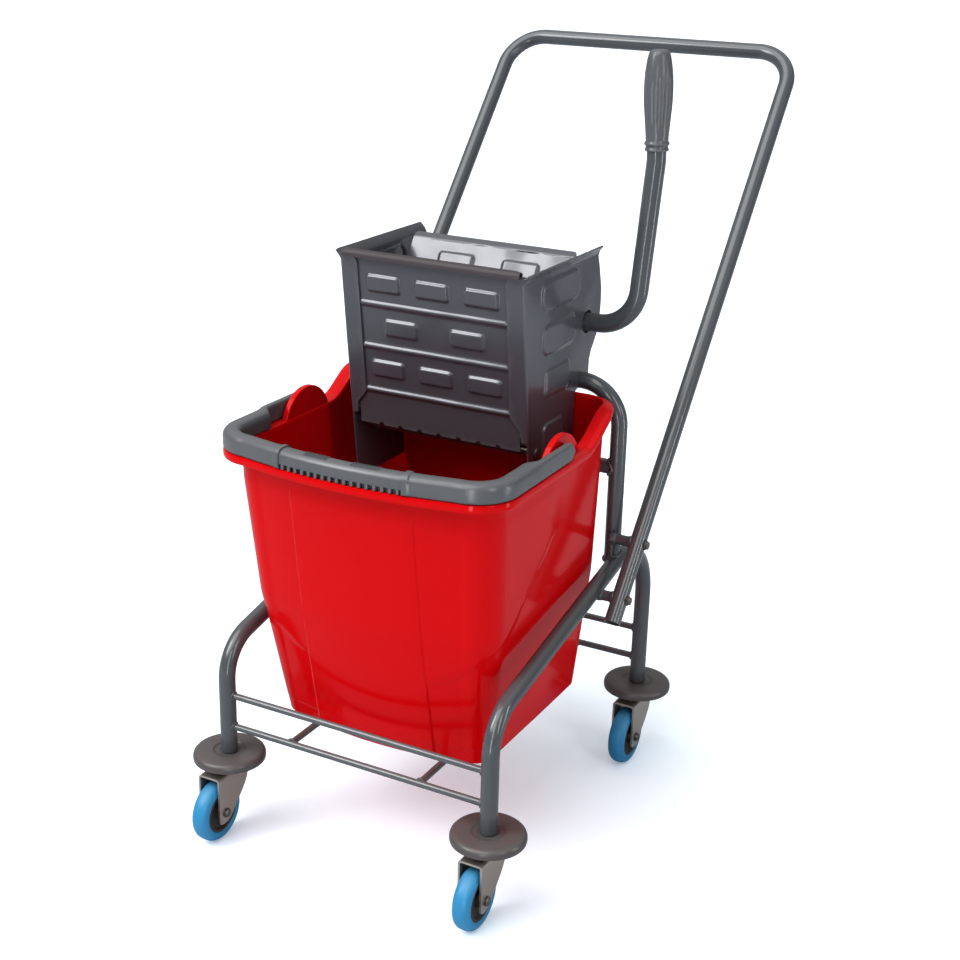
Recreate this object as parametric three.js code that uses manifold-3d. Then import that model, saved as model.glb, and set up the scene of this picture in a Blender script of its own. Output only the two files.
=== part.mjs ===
/*
 * Cleaning trolley: a 25 litre bucket with a down-press wringer, carried in a bent tube frame on four
 * swivel castors. Millimetres, +X to the right, +Y to the rear (towards the push handle), +Z up.
 * Everything is laid out about the middle of the wheelbase, and the whole group is then moved along Y
 * so that its origin is the middle of the bottom of its bounding box.
 */
import * as THREE from 'three';
import { mergeVertices } from 'three/addons/utils/BufferGeometryUtils.js';
import Module from 'manifold-3d';

const wasm = await Module();
wasm.setup();

// ---------------------------------------------------------------- driving dimensions

const GAP = 0.3; // left between pieces that touch
const FIT = 0.4; // radial clearance of a pin in its hole

// Frame
const TRACK = 352; // leg centre lines, left to right
const WHEELBASE = 419; // leg centre lines, front to rear
const TUBE_R = 10;
const TUBE_WALL = 1.5;
const ROD_R = 4;
const LOWER_ROD_RISE = 33.5; // heights above the foot of the legs
const UPPER_ROD_RISE = 74.5;
const FLOOR_ROD_SPACING = 174;
const RAIL_FRONT_RISE = 135;
const RAIL_REAR_RISE = 228;
const RAIL_FRONT_BEND = 52;
const RAIL_REAR_BEND = 80;

// Rear arch that the wringer hangs on
const ARCH_INSET = 6; // from each leg's centre line in to the arch's
const ARCH_SETBACK = 95.5; // from the rear legs forward to the arch
const ARCH_RISE = 428;
const BEND_CLEARANCE = 2; // from the wringer's sides out to where the arch starts to bend down
const CROSS_TUBE_RISE = 326;
const CROSS_TUBE_R = 9;

// Push handle
const HANDLE_OUTSET = 32; // from each leg's centre line out to the handle's
const HANDLE_FOOT_SETBACK = 175.3; // from the rear legs forward to the handle's lower ends
const HANDLE_FOOT_RISE = 162;
const HANDLE_RUN = 522.4;
const HANDLE_RISE = 618.5;
const HANDLE_BEND = 50;
const HANDLE_BOLTS = [31, 103]; // along the tube from its lower end
const HANDLE_BOLT_R = 3;
const BOLT_HEAD_R = 6.5;
const BOLT_HEAD_H = 4;
const LUG_R = 6.5;
const LUG_FLARE = 3;

// Castors and bumper discs
const WHEEL_R = 37.5;
const TYRE_WIDTH = 22;
const HUB_R = 25.5;
const HUB_BOSS_R = 9;
const CASTOR_TRAIL = 30;
const WHEEL_TO_CROWN = 9.5; // from the top of the tyre up to the fork's crown
const FORK_SHEET = 2.5;
const FORK_INSIDE = 25;
const FORK_FRONT = 12; // from the axle forward to the fork's front edge
const AXLE_R = 4;
const RACE_R = 19;
const RACE_H = 6;
const STEM_R = 5;
const STEM_PLUG_H = 26;
const DISC_R = 43.5;
const DISC_H = 12;
const DISC_RECESS_R = 18;
const DISC_RECESS = 1.5;

// Bucket. It, the bail and the wringer are laid out from a line that is LOAD_TO_ARCH ahead of the arch
const LOAD_TO_ARCH = 114;
const BUCKET_H = 347; // to the rim at the front
const WALL = 3;
const RIM_REAR_RISE = 32;
const RIM_RISE_FROM = 0; // the rim starts to climb here and is level again at RIM_RISE_TO
const RIM_RISE_TO = 75;
const LIP_H = 10;
const LIP = { half: 183, front: -226, rear: 102.5, bulge: 15, frontR: 50, rearR: 50 };
const BODY_TOP = { half: 166, front: -206, rear: 101.5, bulge: 15, frontR: 38, rearR: 32 };
const BODY_MID = { half: 158, front: -184, rear: 100.5, bulge: 14, frontR: 34, rearR: 26 };
const BODY_LOW = { half: 138, front: -152, rear: 97, bulge: 14, frontR: 24, rearR: 16 };
const MID_H = 165; // height of BODY_MID above the bucket's base
const EAR_R = 47;
const EAR_H = 31;
const EAR_T = 8;
const EAR_Y = -50;
const PIVOT_R = 6;
const PIVOT_LENGTH = 6;

// Bail handle
const BAIL_W = 22;
const BAIL_H = 22;
const BAIL_WEB = 9.5;
const BAIL_THICK_END = -112; // the full section ends here and the web goes on to the pivot
const BAIL_GRIP_HALF = 80;
const BAIL_COLLAR_W = 7;
const BAIL_COLLAR_RISE = 1.2;

// Wringer
const WRINGER_W = 236; // over the side plates
const SHEET = 2;
const WRINGER_TOP = 154; // above the arch's centre line
const PLATE_FRONT_TOP = -50;
const PLATE_REAR_TOP = 143;
const PLATE_SLOPE = 0.1238; // the front leans back by this much for each unit down
const PLATE_DROP = 286; // from the top of the side plates to their lower ends
const PLATE_REAR_LOW = 95.5;
const FLARE_H = 10;
const FLARE_OUT = 7;
const FLANGE_W = 20;
const FRONT_DEPTH = 212; // length of the front plate down its slope
const BRICK = { width: 45, height: 22, rise: 3 };
const BRICK_PITCH = 63.5;
const BRICK_ROWS = [{ down: 34, offsets: [-1, 0, 1] }, { down: 86, offsets: [-0.68, 0.68] },
  { down: 138.5, offsets: [-1, 0, 1] }];
const RIB_ROWS = [59.3, 111.7, 167];
const RIB_HALF = 96;
const RIB_R = 3;
const DRIP_NOTCH_R = 3.5;
const DRIP_NOTCH_PITCH = 26;
const DRIP_NOTCHES = 7;

// Press plate, its pivot and the lever
const PRESS_PIVOT = { y: -4, drop: 212 }; // drop is below the top of the side plates
const PRESS_SIDE_GAP = 10; // from each side plate's outer face in to the press plate
const PRESS_TOP_Y = 104;
const PRESS_ROD_R = 4;
const PRESS_BARREL_R = 5.5;
const PRESS_HEM = 10;
const LEVER_R = 11;
const LEVER_Y = 122.5;
const LEVER_DROP = 84; // shaft below the top of the side plates
const LEVER_OUT = 60; // from the wringer's side to the lever's upright
const LEVER_BEND = 50;
const LEVER_KINK_RISE = 196;
const LEVER_LEAN = 15; // sideways travel of the upright up to the kink
const GRIP_RISE = 207; // lower end of the grip above the shaft
const GRIP_H = 110;
const GRIP_R = 16.4;
const CAM_X = 60;
const CAM_ARM = 70;
const CAM_TIP_R = 8;
const CAM_HUB_R = 17;
const CAM_T = 8;
const CAM_LEAN = 8; // degrees, forward of upright at rest
const BUSH_R = 18;
const BUSH_H = 7;
const TIE_ROD = { y: 80, drop: 240 };

// ---------------------------------------------------------------- places that follow from them

const LEG_X = TRACK / 2;
const LEG_Y = WHEELBASE / 2;
const CROWN_TOP = 2 * WHEEL_R + WHEEL_TO_CROWN + FORK_SHEET;
const DISC_BASE = CROWN_TOP + GAP + RACE_H + GAP;
const LEG_FOOT = DISC_BASE + DISC_H - DISC_RECESS + GAP;
const LOWER_ROD_Z = LEG_FOOT + LOWER_ROD_RISE;
const UPPER_ROD_Z = LEG_FOOT + UPPER_ROD_RISE;
const RAIL_FRONT_Z = LEG_FOOT + RAIL_FRONT_RISE;
const RAIL_REAR_Z = LEG_FOOT + RAIL_REAR_RISE;
const ARCH_X = LEG_X - ARCH_INSET;
const ARCH_Y = LEG_Y - ARCH_SETBACK;
const ARCH_Z = LEG_FOOT + ARCH_RISE;
const HANDLE_X = LEG_X + HANDLE_OUTSET;
const HANDLE_FOOT_Y = LEG_Y - HANDLE_FOOT_SETBACK;
const HANDLE_FOOT_Z = LEG_FOOT + HANDLE_FOOT_RISE;
const BUCKET_Z = LOWER_ROD_Z + ROD_R + GAP;
const RIM_Z = BUCKET_Z + BUCKET_H;
const BAIL_Z = RIM_Z + GAP + BAIL_H / 2;
const PLATE_X = WRINGER_W / 2;
const PLATE_INNER_X = PLATE_X - SHEET;
const ARCH_BEND = ARCH_X - PLATE_X - BEND_CLEARANCE;
const PRESS_W = WRINGER_W - 2 * PRESS_SIDE_GAP;
const PLATE_TOP_Z = ARCH_Z + WRINGER_TOP;
const LEVER_Z = PLATE_TOP_Z - LEVER_DROP;
const PRESS_PIVOT_Z = PLATE_TOP_Z - PRESS_PIVOT.drop;
const TIE_ROD_Z = PLATE_TOP_Z - TIE_ROD.drop;
const FRONT_OF_ALL = -(LEG_Y + CASTOR_TRAIL + WHEEL_R);
const REAR_OF_ALL = HANDLE_FOOT_Y + HANDLE_RUN + TUBE_R;
const ORIGIN_Y = (FRONT_OF_ALL + REAR_OF_ALL) / 2;
const SIDES = [['left', -1], ['right', 1]];
const ENDS = [['front', -1], ['rear', 1]];

// ---------------------------------------------------------------- geometry helpers

/** Merges shared vertices and turns the faces outward. */
function closed(geometry) {
  const bare = geometry.clone();
  bare.deleteAttribute('normal');
  bare.deleteAttribute('uv');
  const merged = mergeVertices(bare, 1e-3);
  const place = merged.attributes.position;
  const index = merged.index.array;
  const corner = [0, 1, 2].map(() => new THREE.Vector3());
  let volume = 0;
  for (let i = 0; i < index.length; i += 3) {
    corner.forEach((vector, k) => vector.fromBufferAttribute(place, index[i + k]));
    volume += corner[0].dot(corner[1].clone().cross(corner[2]));
  }
  if (volume < 0) {
    for (let i = 0; i < index.length; i += 3) [index[i], index[i + 1]] = [index[i + 1], index[i]];
  }
  return merged;
}

function toSolid(geometry) {
  const mesh = closed(geometry);
  return new wasm.Manifold(new wasm.Mesh({
    numProp: 3,
    vertProperties: new Float32Array(mesh.attributes.position.array),
    triVerts: new Uint32Array(mesh.index.array),
  }));
}

function toGeometry(solid) {
  const mesh = solid.getMesh();
  const geometry = new THREE.BufferGeometry();
  geometry.setAttribute('position', new THREE.BufferAttribute(new Float32Array(mesh.vertProperties), 3));
  geometry.setIndex(new THREE.BufferAttribute(new Uint32Array(mesh.triVerts), 1));
  return geometry;
}

/** Joins the first lists of geometries and cuts the second list away. */
function combine(joined, removed = []) {
  let solid = toSolid(joined[0]);
  joined.slice(1).forEach((geometry) => { solid = solid.add(toSolid(geometry)); });
  removed.forEach((geometry) => { solid = solid.subtract(toSolid(geometry)); });
  return toGeometry(solid);
}

function box(xRange, yRange, zRange) {
  const size = [xRange, yRange, zRange].map(([from, to]) => to - from);
  const middle = [xRange, yRange, zRange].map(([from, to]) => (from + to) / 2);
  return new THREE.BoxGeometry(...size).translate(...middle);
}

/** A round bar along X between two X values. */
function barX(radius, xFrom, xTo, y, z, sides = 12) {
  return new THREE.CylinderGeometry(radius, radius, Math.abs(xTo - xFrom), sides)
    .rotateZ(Math.PI / 2).translate((xFrom + xTo) / 2, y, z);
}

/** A round bar along Y between two Y values. */
function barY(radius, yFrom, yTo, x, z, sides = 8) {
  return new THREE.CylinderGeometry(radius, radius, Math.abs(yTo - yFrom), sides)
    .translate(x, (yFrom + yTo) / 2, z);
}

/** A flat plate drawn in the Y-Z plane, from xFrom to xTo. */
function plateX(shape, xFrom, xTo) {
  const options = { depth: xTo - xFrom, bevelEnabled: false, curveSegments: 5 };
  const turn = new THREE.Matrix4().makeBasis(
    new THREE.Vector3(0, 1, 0), new THREE.Vector3(0, 0, 1), new THREE.Vector3(1, 0, 0));
  return new THREE.ExtrudeGeometry(shape, options).applyMatrix4(turn).translate(xFrom, 0, 0);
}

function polygon(points) {
  return new THREE.Shape(points.map(([u, v]) => new THREE.Vector2(u, v)));
}

function roundedRectangle(uFrom, uTo, vFrom, vTo, radius) {
  const shape = new THREE.Shape();
  shape.absarc(uTo - radius, vFrom + radius, radius, -Math.PI / 2, 0);
  shape.absarc(uTo - radius, vTo - radius, radius, 0, Math.PI / 2);
  shape.absarc(uFrom + radius, vTo - radius, radius, Math.PI / 2, Math.PI);
  shape.absarc(uFrom + radius, vFrom + radius, radius, Math.PI, 1.5 * Math.PI);
  return shape;
}

function ringShape(outer, inner, sides) {
  const circle = (radius) => Array.from({ length: sides }, (_, i) => {
    const angle = (2 * Math.PI * i) / sides;
    return new THREE.Vector2(radius * Math.cos(angle), radius * Math.sin(angle));
  });
  const shape = new THREE.Shape(circle(outer));
  if (inner > 0) shape.holes.push(new THREE.Path(circle(inner)));
  return shape;
}

/** A curve that is swept exactly through its own list of stations. */
class StationPath extends THREE.Curve {
  constructor(stations) {
    super();
    this.stations = stations;
  }

  get steps() {
    return this.stations.length - 1;
  }

  getPoint(t, target = new THREE.Vector3()) {
    const along = t * this.steps;
    const index = Math.min(Math.floor(along + 1e-6), this.steps - 1);
    return target.lerpVectors(this.stations[index].point, this.stations[index + 1].point, along - index);
  }

  getPointAt(t, target) {
    return this.getPoint(t, target);
  }

  getTangentAt(t, target = new THREE.Vector3()) {
    return target.copy(this.stations[Math.round(t * this.steps)].tangent);
  }

  getTangent(t, target) {
    return this.getTangentAt(t, target);
  }
}

/** Straight runs between corners, with a round bend of the given radius at each inner corner. */
function bentPath(corners, bends, stepsPerBend = 5) {
  const points = corners.map((corner) => new THREE.Vector3(...corner));
  const toward = (from, to) => to.clone().sub(from).normalize();
  const first = toward(points[0], points[1]);
  const stations = [{ point: points[0], tangent: first }];
  for (let i = 1; i < points.length - 1; i += 1) {
    const before = toward(points[i - 1], points[i]);
    const after = toward(points[i], points[i + 1]);
    const turn = before.angleTo(after);
    const start = points[i].clone().addScaledVector(before, -bends[i - 1] * Math.tan(turn / 2));
    const inward = after.clone().addScaledVector(before, -before.dot(after)).normalize();
    for (let k = 0; k <= stepsPerBend; k += 1) {
      const angle = (turn * k) / stepsPerBend;
      stations.push({
        point: start.clone().addScaledVector(before, bends[i - 1] * Math.sin(angle))
          .addScaledVector(inward, bends[i - 1] * (1 - Math.cos(angle))),
        tangent: before.clone().multiplyScalar(Math.cos(angle)).addScaledVector(inward, Math.sin(angle)),
      });
    }
  }
  const last = points.length - 1;
  stations.push({ point: points[last], tangent: toward(points[last - 1], points[last]) });
  return new StationPath(stations);
}

function sweep(shape, path) {
  const options = { steps: path.steps, extrudePath: path, bevelEnabled: false, curveSegments: 1 };
  return new THREE.ExtrudeGeometry(shape, options);
}

function tube(path, radius = TUBE_R, wall = TUBE_WALL, sides = 12) {
  return sweep(ringShape(radius, radius - wall, sides), path);
}

function lathe(profile, segments) {
  const points = profile.map(([r, z]) => new THREE.Vector2(r, z));
  return new THREE.LatheGeometry(points, segments).rotateX(Math.PI / 2);
}

/** Turns a shape made around Z so that it stands around X. */
function aroundX(geometry) {
  return geometry.rotateY(Math.PI / 2);
}

// ---------------------------------------------------------------- the group and its finishes

const trolley = new THREE.Group();
trolley.position.set(0, -ORIGIN_Y, 0);
const load = new THREE.Group();
load.position.set(0, ARCH_Y - LOAD_TO_ARCH, 0);
trolley.add(load);

const FINISH = {
  frame: { color: 0x585b5f, roughness: 0.38, metalness: 0.35 },
  wringer: { color: 0x55565c, roughness: 0.35, metalness: 0.4 },
  bucket: { color: 0xd40f18, roughness: 0.25, metalness: 0 },
  plastic: { color: 0x5f6164, roughness: 0.5, metalness: 0 },
  bumper: { color: 0x4a4746, roughness: 0.45, metalness: 0 },
  tyre: { color: 0x2f9fdc, roughness: 0.45, metalness: 0 },
  hub: { color: 0x37322f, roughness: 0.6, metalness: 0 },
  steel: { color: 0xb9b3a9, roughness: 0.3, metalness: 0.9 },
  bolt: { color: 0x6d6a66, roughness: 0.4, metalness: 0.8 },
};

function addPiece(name, geometry, finish, parent = trolley) {
  const mesh = new THREE.Mesh(closed(geometry), new THREE.MeshStandardMaterial(FINISH[finish]));
  mesh.name = name;
  parent.add(mesh);
  return mesh;
}

// ---------------------------------------------------------------- frame

function railPath(x) {
  const front = [[x, -LEG_Y, LEG_FOOT], [x, -LEG_Y, RAIL_FRONT_Z]];
  const rear = [[x, LEG_Y, RAIL_REAR_Z], [x, LEG_Y, LEG_FOOT]];
  return bentPath([...front, ...rear], [RAIL_FRONT_BEND, RAIL_REAR_BEND]);
}

/** Height of a side rail's centre line where it passes below y, between its two bends. */
function railHeight(y) {
  return RAIL_FRONT_Z + ((RAIL_REAR_Z - RAIL_FRONT_Z) * (y + LEG_Y)) / WHEELBASE;
}

function solidTube(path, radius) {
  return sweep(ringShape(radius, 0, 12), path);
}

function archPath() {
  const foot = railHeight(ARCH_Y) - GAP;
  const left = [[-ARCH_X, ARCH_Y, foot], [-ARCH_X, ARCH_Y, ARCH_Z]];
  const right = [[ARCH_X, ARCH_Y, ARCH_Z], [ARCH_X, ARCH_Y, foot]];
  return bentPath([...left, ...right], [ARCH_BEND, ARCH_BEND]);
}

function buildSideFrames() {
  SIDES.forEach(([side, sign]) => addPiece(`side_frame_${side}`, tube(railPath(sign * LEG_X)), 'frame'));
}

function buildArch() {
  const rails = SIDES.map(([, sign]) => solidTube(railPath(sign * LEG_X), TUBE_R + GAP));
  addPiece('rear_arch', combine([tube(archPath())], rails), 'frame');
  const legs = solidTube(archPath(), TUBE_R + GAP);
  const cross = barX(CROSS_TUBE_R, -ARCH_X, ARCH_X, ARCH_Y, LEG_FOOT + CROSS_TUBE_RISE);
  addPiece('arch_cross_tube', combine([cross], [legs]), 'frame');
}

function buildRods() {
  const reach = LEG_X - TUBE_R - GAP;
  ENDS.forEach(([end, sign]) => {
    addPiece(`${end}_rod_upper`, barX(ROD_R, -reach, reach, sign * LEG_Y, UPPER_ROD_Z, 8), 'frame');
    addPiece(`${end}_rod_lower`, barX(ROD_R, -reach, reach, sign * LEG_Y, LOWER_ROD_Z, 8), 'frame');
  });
  const run = LEG_Y - ROD_R - GAP;
  SIDES.forEach(([side, sign]) => {
    const rod = barY(ROD_R, -run, run, (sign * FLOOR_ROD_SPACING) / 2, LOWER_ROD_Z);
    addPiece(`floor_rod_${side}`, rod, 'frame');
  });
}

// ---------------------------------------------------------------- push handle

function handlePath() {
  const top = [HANDLE_FOOT_Y + HANDLE_RUN, HANDLE_FOOT_Z + HANDLE_RISE];
  return bentPath([[-HANDLE_X, HANDLE_FOOT_Y, HANDLE_FOOT_Z], [-HANDLE_X, ...top], [HANDLE_X, ...top],
    [HANDLE_X, HANDLE_FOOT_Y, HANDLE_FOOT_Z]], [HANDLE_BEND, HANDLE_BEND]);
}

/** The Y and Z of a point on the handle's leg, measured along it from its lower end. */
function onHandle(distance) {
  const share = distance / Math.hypot(HANDLE_RUN, HANDLE_RISE);
  return [HANDLE_FOOT_Y + HANDLE_RUN * share, HANDLE_FOOT_Z + HANDLE_RISE * share];
}

function buildHandle() {
  const reach = HANDLE_X + TUBE_R + 1;
  const holes = HANDLE_BOLTS.flatMap((distance) => SIDES.map(([, sign]) => (
    barX(HANDLE_BOLT_R + FIT, sign * (HANDLE_X - TUBE_R - 1), sign * reach, ...onHandle(distance)))));
  addPiece('push_handle', combine([tube(handlePath())], holes), 'frame');
  const handle = solidTube(handlePath(), TUBE_R + GAP);
  const carriers = [['lower', (sign) => solidTube(railPath(sign * LEG_X), TUBE_R + GAP), LEG_X],
    ['upper', () => solidTube(archPath(), TUBE_R + GAP), ARCH_X]];
  carriers.forEach(([level, carrier, fromX], k) => SIDES.forEach(([side, sign]) => {
    const [y, z] = onHandle(HANDLE_BOLTS[k]);
    const flare = new THREE.CylinderGeometry(LUG_R + LUG_FLARE, LUG_R, 2 * LUG_FLARE, 12)
      .rotateZ((-sign * Math.PI) / 2).translate(sign * (HANDLE_X - TUBE_R), y, z);
    const bore = barX(HANDLE_BOLT_R + FIT, sign * (fromX - 1), sign * (HANDLE_X + TUBE_R), y, z);
    const bar = barX(LUG_R, sign * fromX, sign * (HANDLE_X - TUBE_R), y, z);
    addPiece(`handle_lug_${level}_${side}`, combine([bar, flare], [carrier(sign), handle, bore]), 'frame');
    const seat = HANDLE_X + TUBE_R + GAP;
    const head = barX(BOLT_HEAD_R, sign * seat, sign * (seat + BOLT_HEAD_H), y, z, 6);
    const shank = barX(HANDLE_BOLT_R, sign * (LEG_X + TUBE_R + 2), sign * (seat + 2), y, z);
    addPiece(`handle_bolt_${level}_${side}`, combine([head, shank]), 'bolt');
  }));
}

// ---------------------------------------------------------------- castors and bumper discs

function discProfile() {
  const top = DISC_BASE + DISC_H;
  const round = 4;
  const bore = STEM_R + FIT;
  return [[bore, DISC_BASE], [DISC_R - 2, DISC_BASE], [DISC_R, DISC_BASE + 2], [DISC_R, top - round],
    [DISC_R - 1.2, top - 1.2], [DISC_R - round, top], [DISC_RECESS_R, top],
    [DISC_RECESS_R - 1, top - DISC_RECESS], [bore, top - DISC_RECESS], [bore, DISC_BASE]];
}

function stemProfile() {
  const race = CROWN_TOP + GAP;
  const plug = LEG_FOOT + 4;
  const plugR = TUBE_R - TUBE_WALL - GAP;
  const rivet = CROWN_TOP - FORK_SHEET - GAP;
  return [[0, rivet - 3], [STEM_R + 3, rivet - 3], [STEM_R + 3, rivet], [STEM_R, rivet], [STEM_R, race],
    [RACE_R, race], [RACE_R, race + RACE_H], [STEM_R, race + RACE_H], [STEM_R, plug], [plugR, plug],
    [plugR, plug + STEM_PLUG_H], [0, plug + STEM_PLUG_H]];
}

/** One side cheek of the fork, in the Y-Z plane about the swivel axis. */
function forkCheek() {
  const front = -CASTOR_TRAIL - FORK_FRONT;
  const tip = WHEEL_R - 13;
  return polygon([[front, tip + 4], [front + 4, tip], [front + 12, tip + 0.5], [front + 21, tip + 5],
    [front + 29, WHEEL_R - 1], [front + 50, WHEEL_R + 19], [front + 59, WHEEL_R + 34],
    [front + 60, CROWN_TOP], [front, CROWN_TOP]]);
}

function forkGeometry() {
  const outer = FORK_INSIDE / 2 + FORK_SHEET;
  const inner = FORK_INSIDE / 2;
  const front = -CASTOR_TRAIL - FORK_FRONT;
  const crown = box([-outer, outer], [front, front + 60], [CROWN_TOP - FORK_SHEET, CROWN_TOP]);
  const cheeks = [plateX(forkCheek(), -outer, -inner), plateX(forkCheek(), inner, outer)];
  const kingpinHole = new THREE.CylinderGeometry(STEM_R + FIT, STEM_R + FIT, 20, 12).rotateX(Math.PI / 2)
    .translate(0, 0, CROWN_TOP);
  const axleHole = barX(AXLE_R + FIT, -outer - 1, outer + 1, -CASTOR_TRAIL, WHEEL_R);
  return combine([crown, ...cheeks], [kingpinHole, axleHole]);
}

function tyreGeometry() {
  const half = TYRE_WIDTH / 2;
  const inner = HUB_R + GAP;
  const shoulder = [[WHEEL_R, half - 8], [WHEEL_R - 1.8, half - 3], [WHEEL_R - 5, half], [inner, half]];
  const mirrored = shoulder.map(([r, x]) => [r, -x]).reverse();
  return aroundX(lathe([...mirrored, ...shoulder, [inner, -half]], 24));
}

function hubGeometry() {
  const half = TYRE_WIDTH / 2;
  const boss = FORK_INSIDE / 2 - GAP;
  const bore = AXLE_R + FIT;
  return aroundX(lathe([[bore, -boss], [HUB_BOSS_R, -boss], [HUB_BOSS_R, -half + 4], [HUB_R - 3, -half + 4],
    [HUB_R - 3, -half], [HUB_R, -half], [HUB_R, half], [HUB_R - 3, half], [HUB_R - 3, half - 4],
    [HUB_BOSS_R, half - 4], [HUB_BOSS_R, boss], [bore, boss], [bore, -boss]], 16));
}

function axleGeometry() {
  const face = FORK_INSIDE / 2 + FORK_SHEET + GAP;
  const head = BOLT_HEAD_R - 0.5;
  const right = [[AXLE_R, face], [head, face], [head, face + 3.5], [0, face + 3.5]];
  const left = right.map(([r, x]) => [r, -x]).reverse();
  return aroundX(lathe([...left, ...right], 12));
}

function buildCastors() {
  ENDS.forEach(([end, ySign]) => SIDES.forEach(([side, xSign]) => {
    const corner = `${end}_${side}`;
    const castor = new THREE.Group();
    castor.position.set(xSign * LEG_X, ySign * LEG_Y, 0);
    trolley.add(castor);
    addPiece(`bumper_disc_${corner}`, lathe(discProfile(), 24), 'bumper', castor);
    addPiece(`castor_stem_${corner}`, lathe(stemProfile(), 12), 'steel', castor);
    addPiece(`castor_fork_${corner}`, forkGeometry(), 'steel', castor);
    const wheel = new THREE.Group();
    wheel.position.set(0, -CASTOR_TRAIL, WHEEL_R);
    castor.add(wheel);
    addPiece(`tyre_${corner}`, tyreGeometry(), 'tyre', wheel);
    addPiece(`hub_${corner}`, hubGeometry(), 'hub', wheel);
    addPiece(`axle_${corner}`, axleGeometry(), 'bolt', wheel);
  }));
}

// ---------------------------------------------------------------- bucket

/** Anticlockwise outline with a bowed front and round corners, always with the same number of points. */
function bucketOutline({ half, front, rear, bulge, frontR, rearR }) {
  const points = [];
  const flat = half - frontR;
  for (let i = 0; i < 8; i += 1) {
    const x = -flat + (2 * flat * i) / 8;
    points.push([x, front - bulge * (1 - (x / flat) ** 2)]);
  }
  const arc = (cx, cy, radius, from, steps) => {
    for (let i = 0; i < steps; i += 1) {
      const angle = from + (Math.PI / 2) * (i / steps);
      points.push([cx + radius * Math.cos(angle), cy + radius * Math.sin(angle)]);
    }
  };
  const side = (x, yFrom, yTo, steps) => {
    for (let i = 0; i < steps; i += 1) points.push([x, yFrom + ((yTo - yFrom) * i) / steps]);
  };
  arc(half - frontR, front + frontR, frontR, -Math.PI / 2, 5);
  side(half, front + frontR, rear - rearR, 8);
  arc(half - rearR, rear - rearR, rearR, 0, 4);
  points.push([half - rearR, rear]);
  arc(-half + rearR, rear - rearR, rearR, Math.PI / 2, 4);
  side(-half, rear - rearR, front + frontR, 8);
  arc(-half + frontR, front + frontR, frontR, Math.PI, 5);
  return points;
}

/** The same section with every wall moved inward. */
function inset(section, by) {
  return {
    half: section.half - by,
    front: section.front + by,
    rear: section.rear - by,
    bulge: section.bulge,
    frontR: Math.max(section.frontR - by, 2),
    rearR: Math.max(section.rearR - by, 2),
  };
}

/** How much higher the rim is at y than at the front. */
function rimLift(y) {
  return RIM_REAR_RISE * THREE.MathUtils.smoothstep(y, RIM_RISE_FROM, RIM_RISE_TO);
}

/** Skins a stack of outlines and closes both ends with flat fans. */
function loft(rings) {
  const count = rings[0].length;
  const positions = rings.flat().flat();
  const index = [];
  for (let r = 0; r < rings.length - 1; r += 1) {
    for (let i = 0; i < count; i += 1) {
      const a = r * count + i;
      const b = r * count + ((i + 1) % count);
      index.push(a, b, b + count, a, b + count, a + count);
    }
  }
  [[0, true], [rings.length - 1, false]].forEach(([ring, flip]) => {
    const centre = positions.length / 3;
    positions.push(0, 0, rings[ring][0][2]);
    for (let i = 0; i < count; i += 1) {
      const a = ring * count + i;
      const b = ring * count + ((i + 1) % count);
      index.push(...(flip ? [b, a, centre] : [a, b, centre]));
    }
  });
  const geometry = new THREE.BufferGeometry();
  geometry.setAttribute('position', new THREE.Float32BufferAttribute(positions, 3));
  geometry.setIndex(index);
  return geometry;
}

function bucketShell() {
  const level = (section, z, lifted = 0) => bucketOutline(section)
    .map(([x, y]) => [x, y, z + lifted * rimLift(y)]);
  const base = BUCKET_Z;
  const floor = base + WALL;
  return loft([
    level(inset(BODY_LOW, 4), base),
    level(BODY_LOW, base + 5),
    level(BODY_MID, base + MID_H),
    level(BODY_TOP, RIM_Z - LIP_H - 8, 1),
    level(inset(LIP, 1), RIM_Z - LIP_H, 1),
    level(LIP, RIM_Z - LIP_H + 2, 1),
    level(LIP, RIM_Z - 2, 1),
    level(inset(LIP, 1.5), RIM_Z, 1),
    level(inset(BODY_TOP, WALL - 1), RIM_Z, 1),
    level(inset(BODY_TOP, WALL), RIM_Z - 3, 1),
    level(inset(BODY_MID, WALL), base + MID_H),
    level(inset(BODY_LOW, WALL), floor + 6),
    level(inset(BODY_LOW, WALL + 5), floor),
  ]);
}

/** A round ear standing on the rim, seen from the side. */
function earShape() {
  const centreZ = RIM_Z + EAR_H - EAR_R;
  const reach = Math.acos((EAR_R - EAR_H - 2) / EAR_R);
  const shape = new THREE.Shape();
  shape.absarc(EAR_Y, centreZ, EAR_R, Math.PI / 2 - reach, Math.PI / 2 + reach);
  return shape;
}

function buildBucket() {
  const earInner = BODY_TOP.half - WALL + 1;
  const parts = SIDES.flatMap(([, sign]) => {
    const [from, to] = [sign * earInner, sign * (earInner + EAR_T)].sort((a, b) => a - b);
    const pivotFrom = sign * (earInner + EAR_T - 1);
    const pivotTo = sign * (earInner + EAR_T + PIVOT_LENGTH);
    return [plateX(earShape(), from, to), barX(PIVOT_R, pivotFrom, pivotTo, EAR_Y, BAIL_Z)];
  });
  addPiece('bucket_shell', combine([bucketShell(), ...parts]), 'bucket', load);
}

// ---------------------------------------------------------------- bail handle

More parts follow.
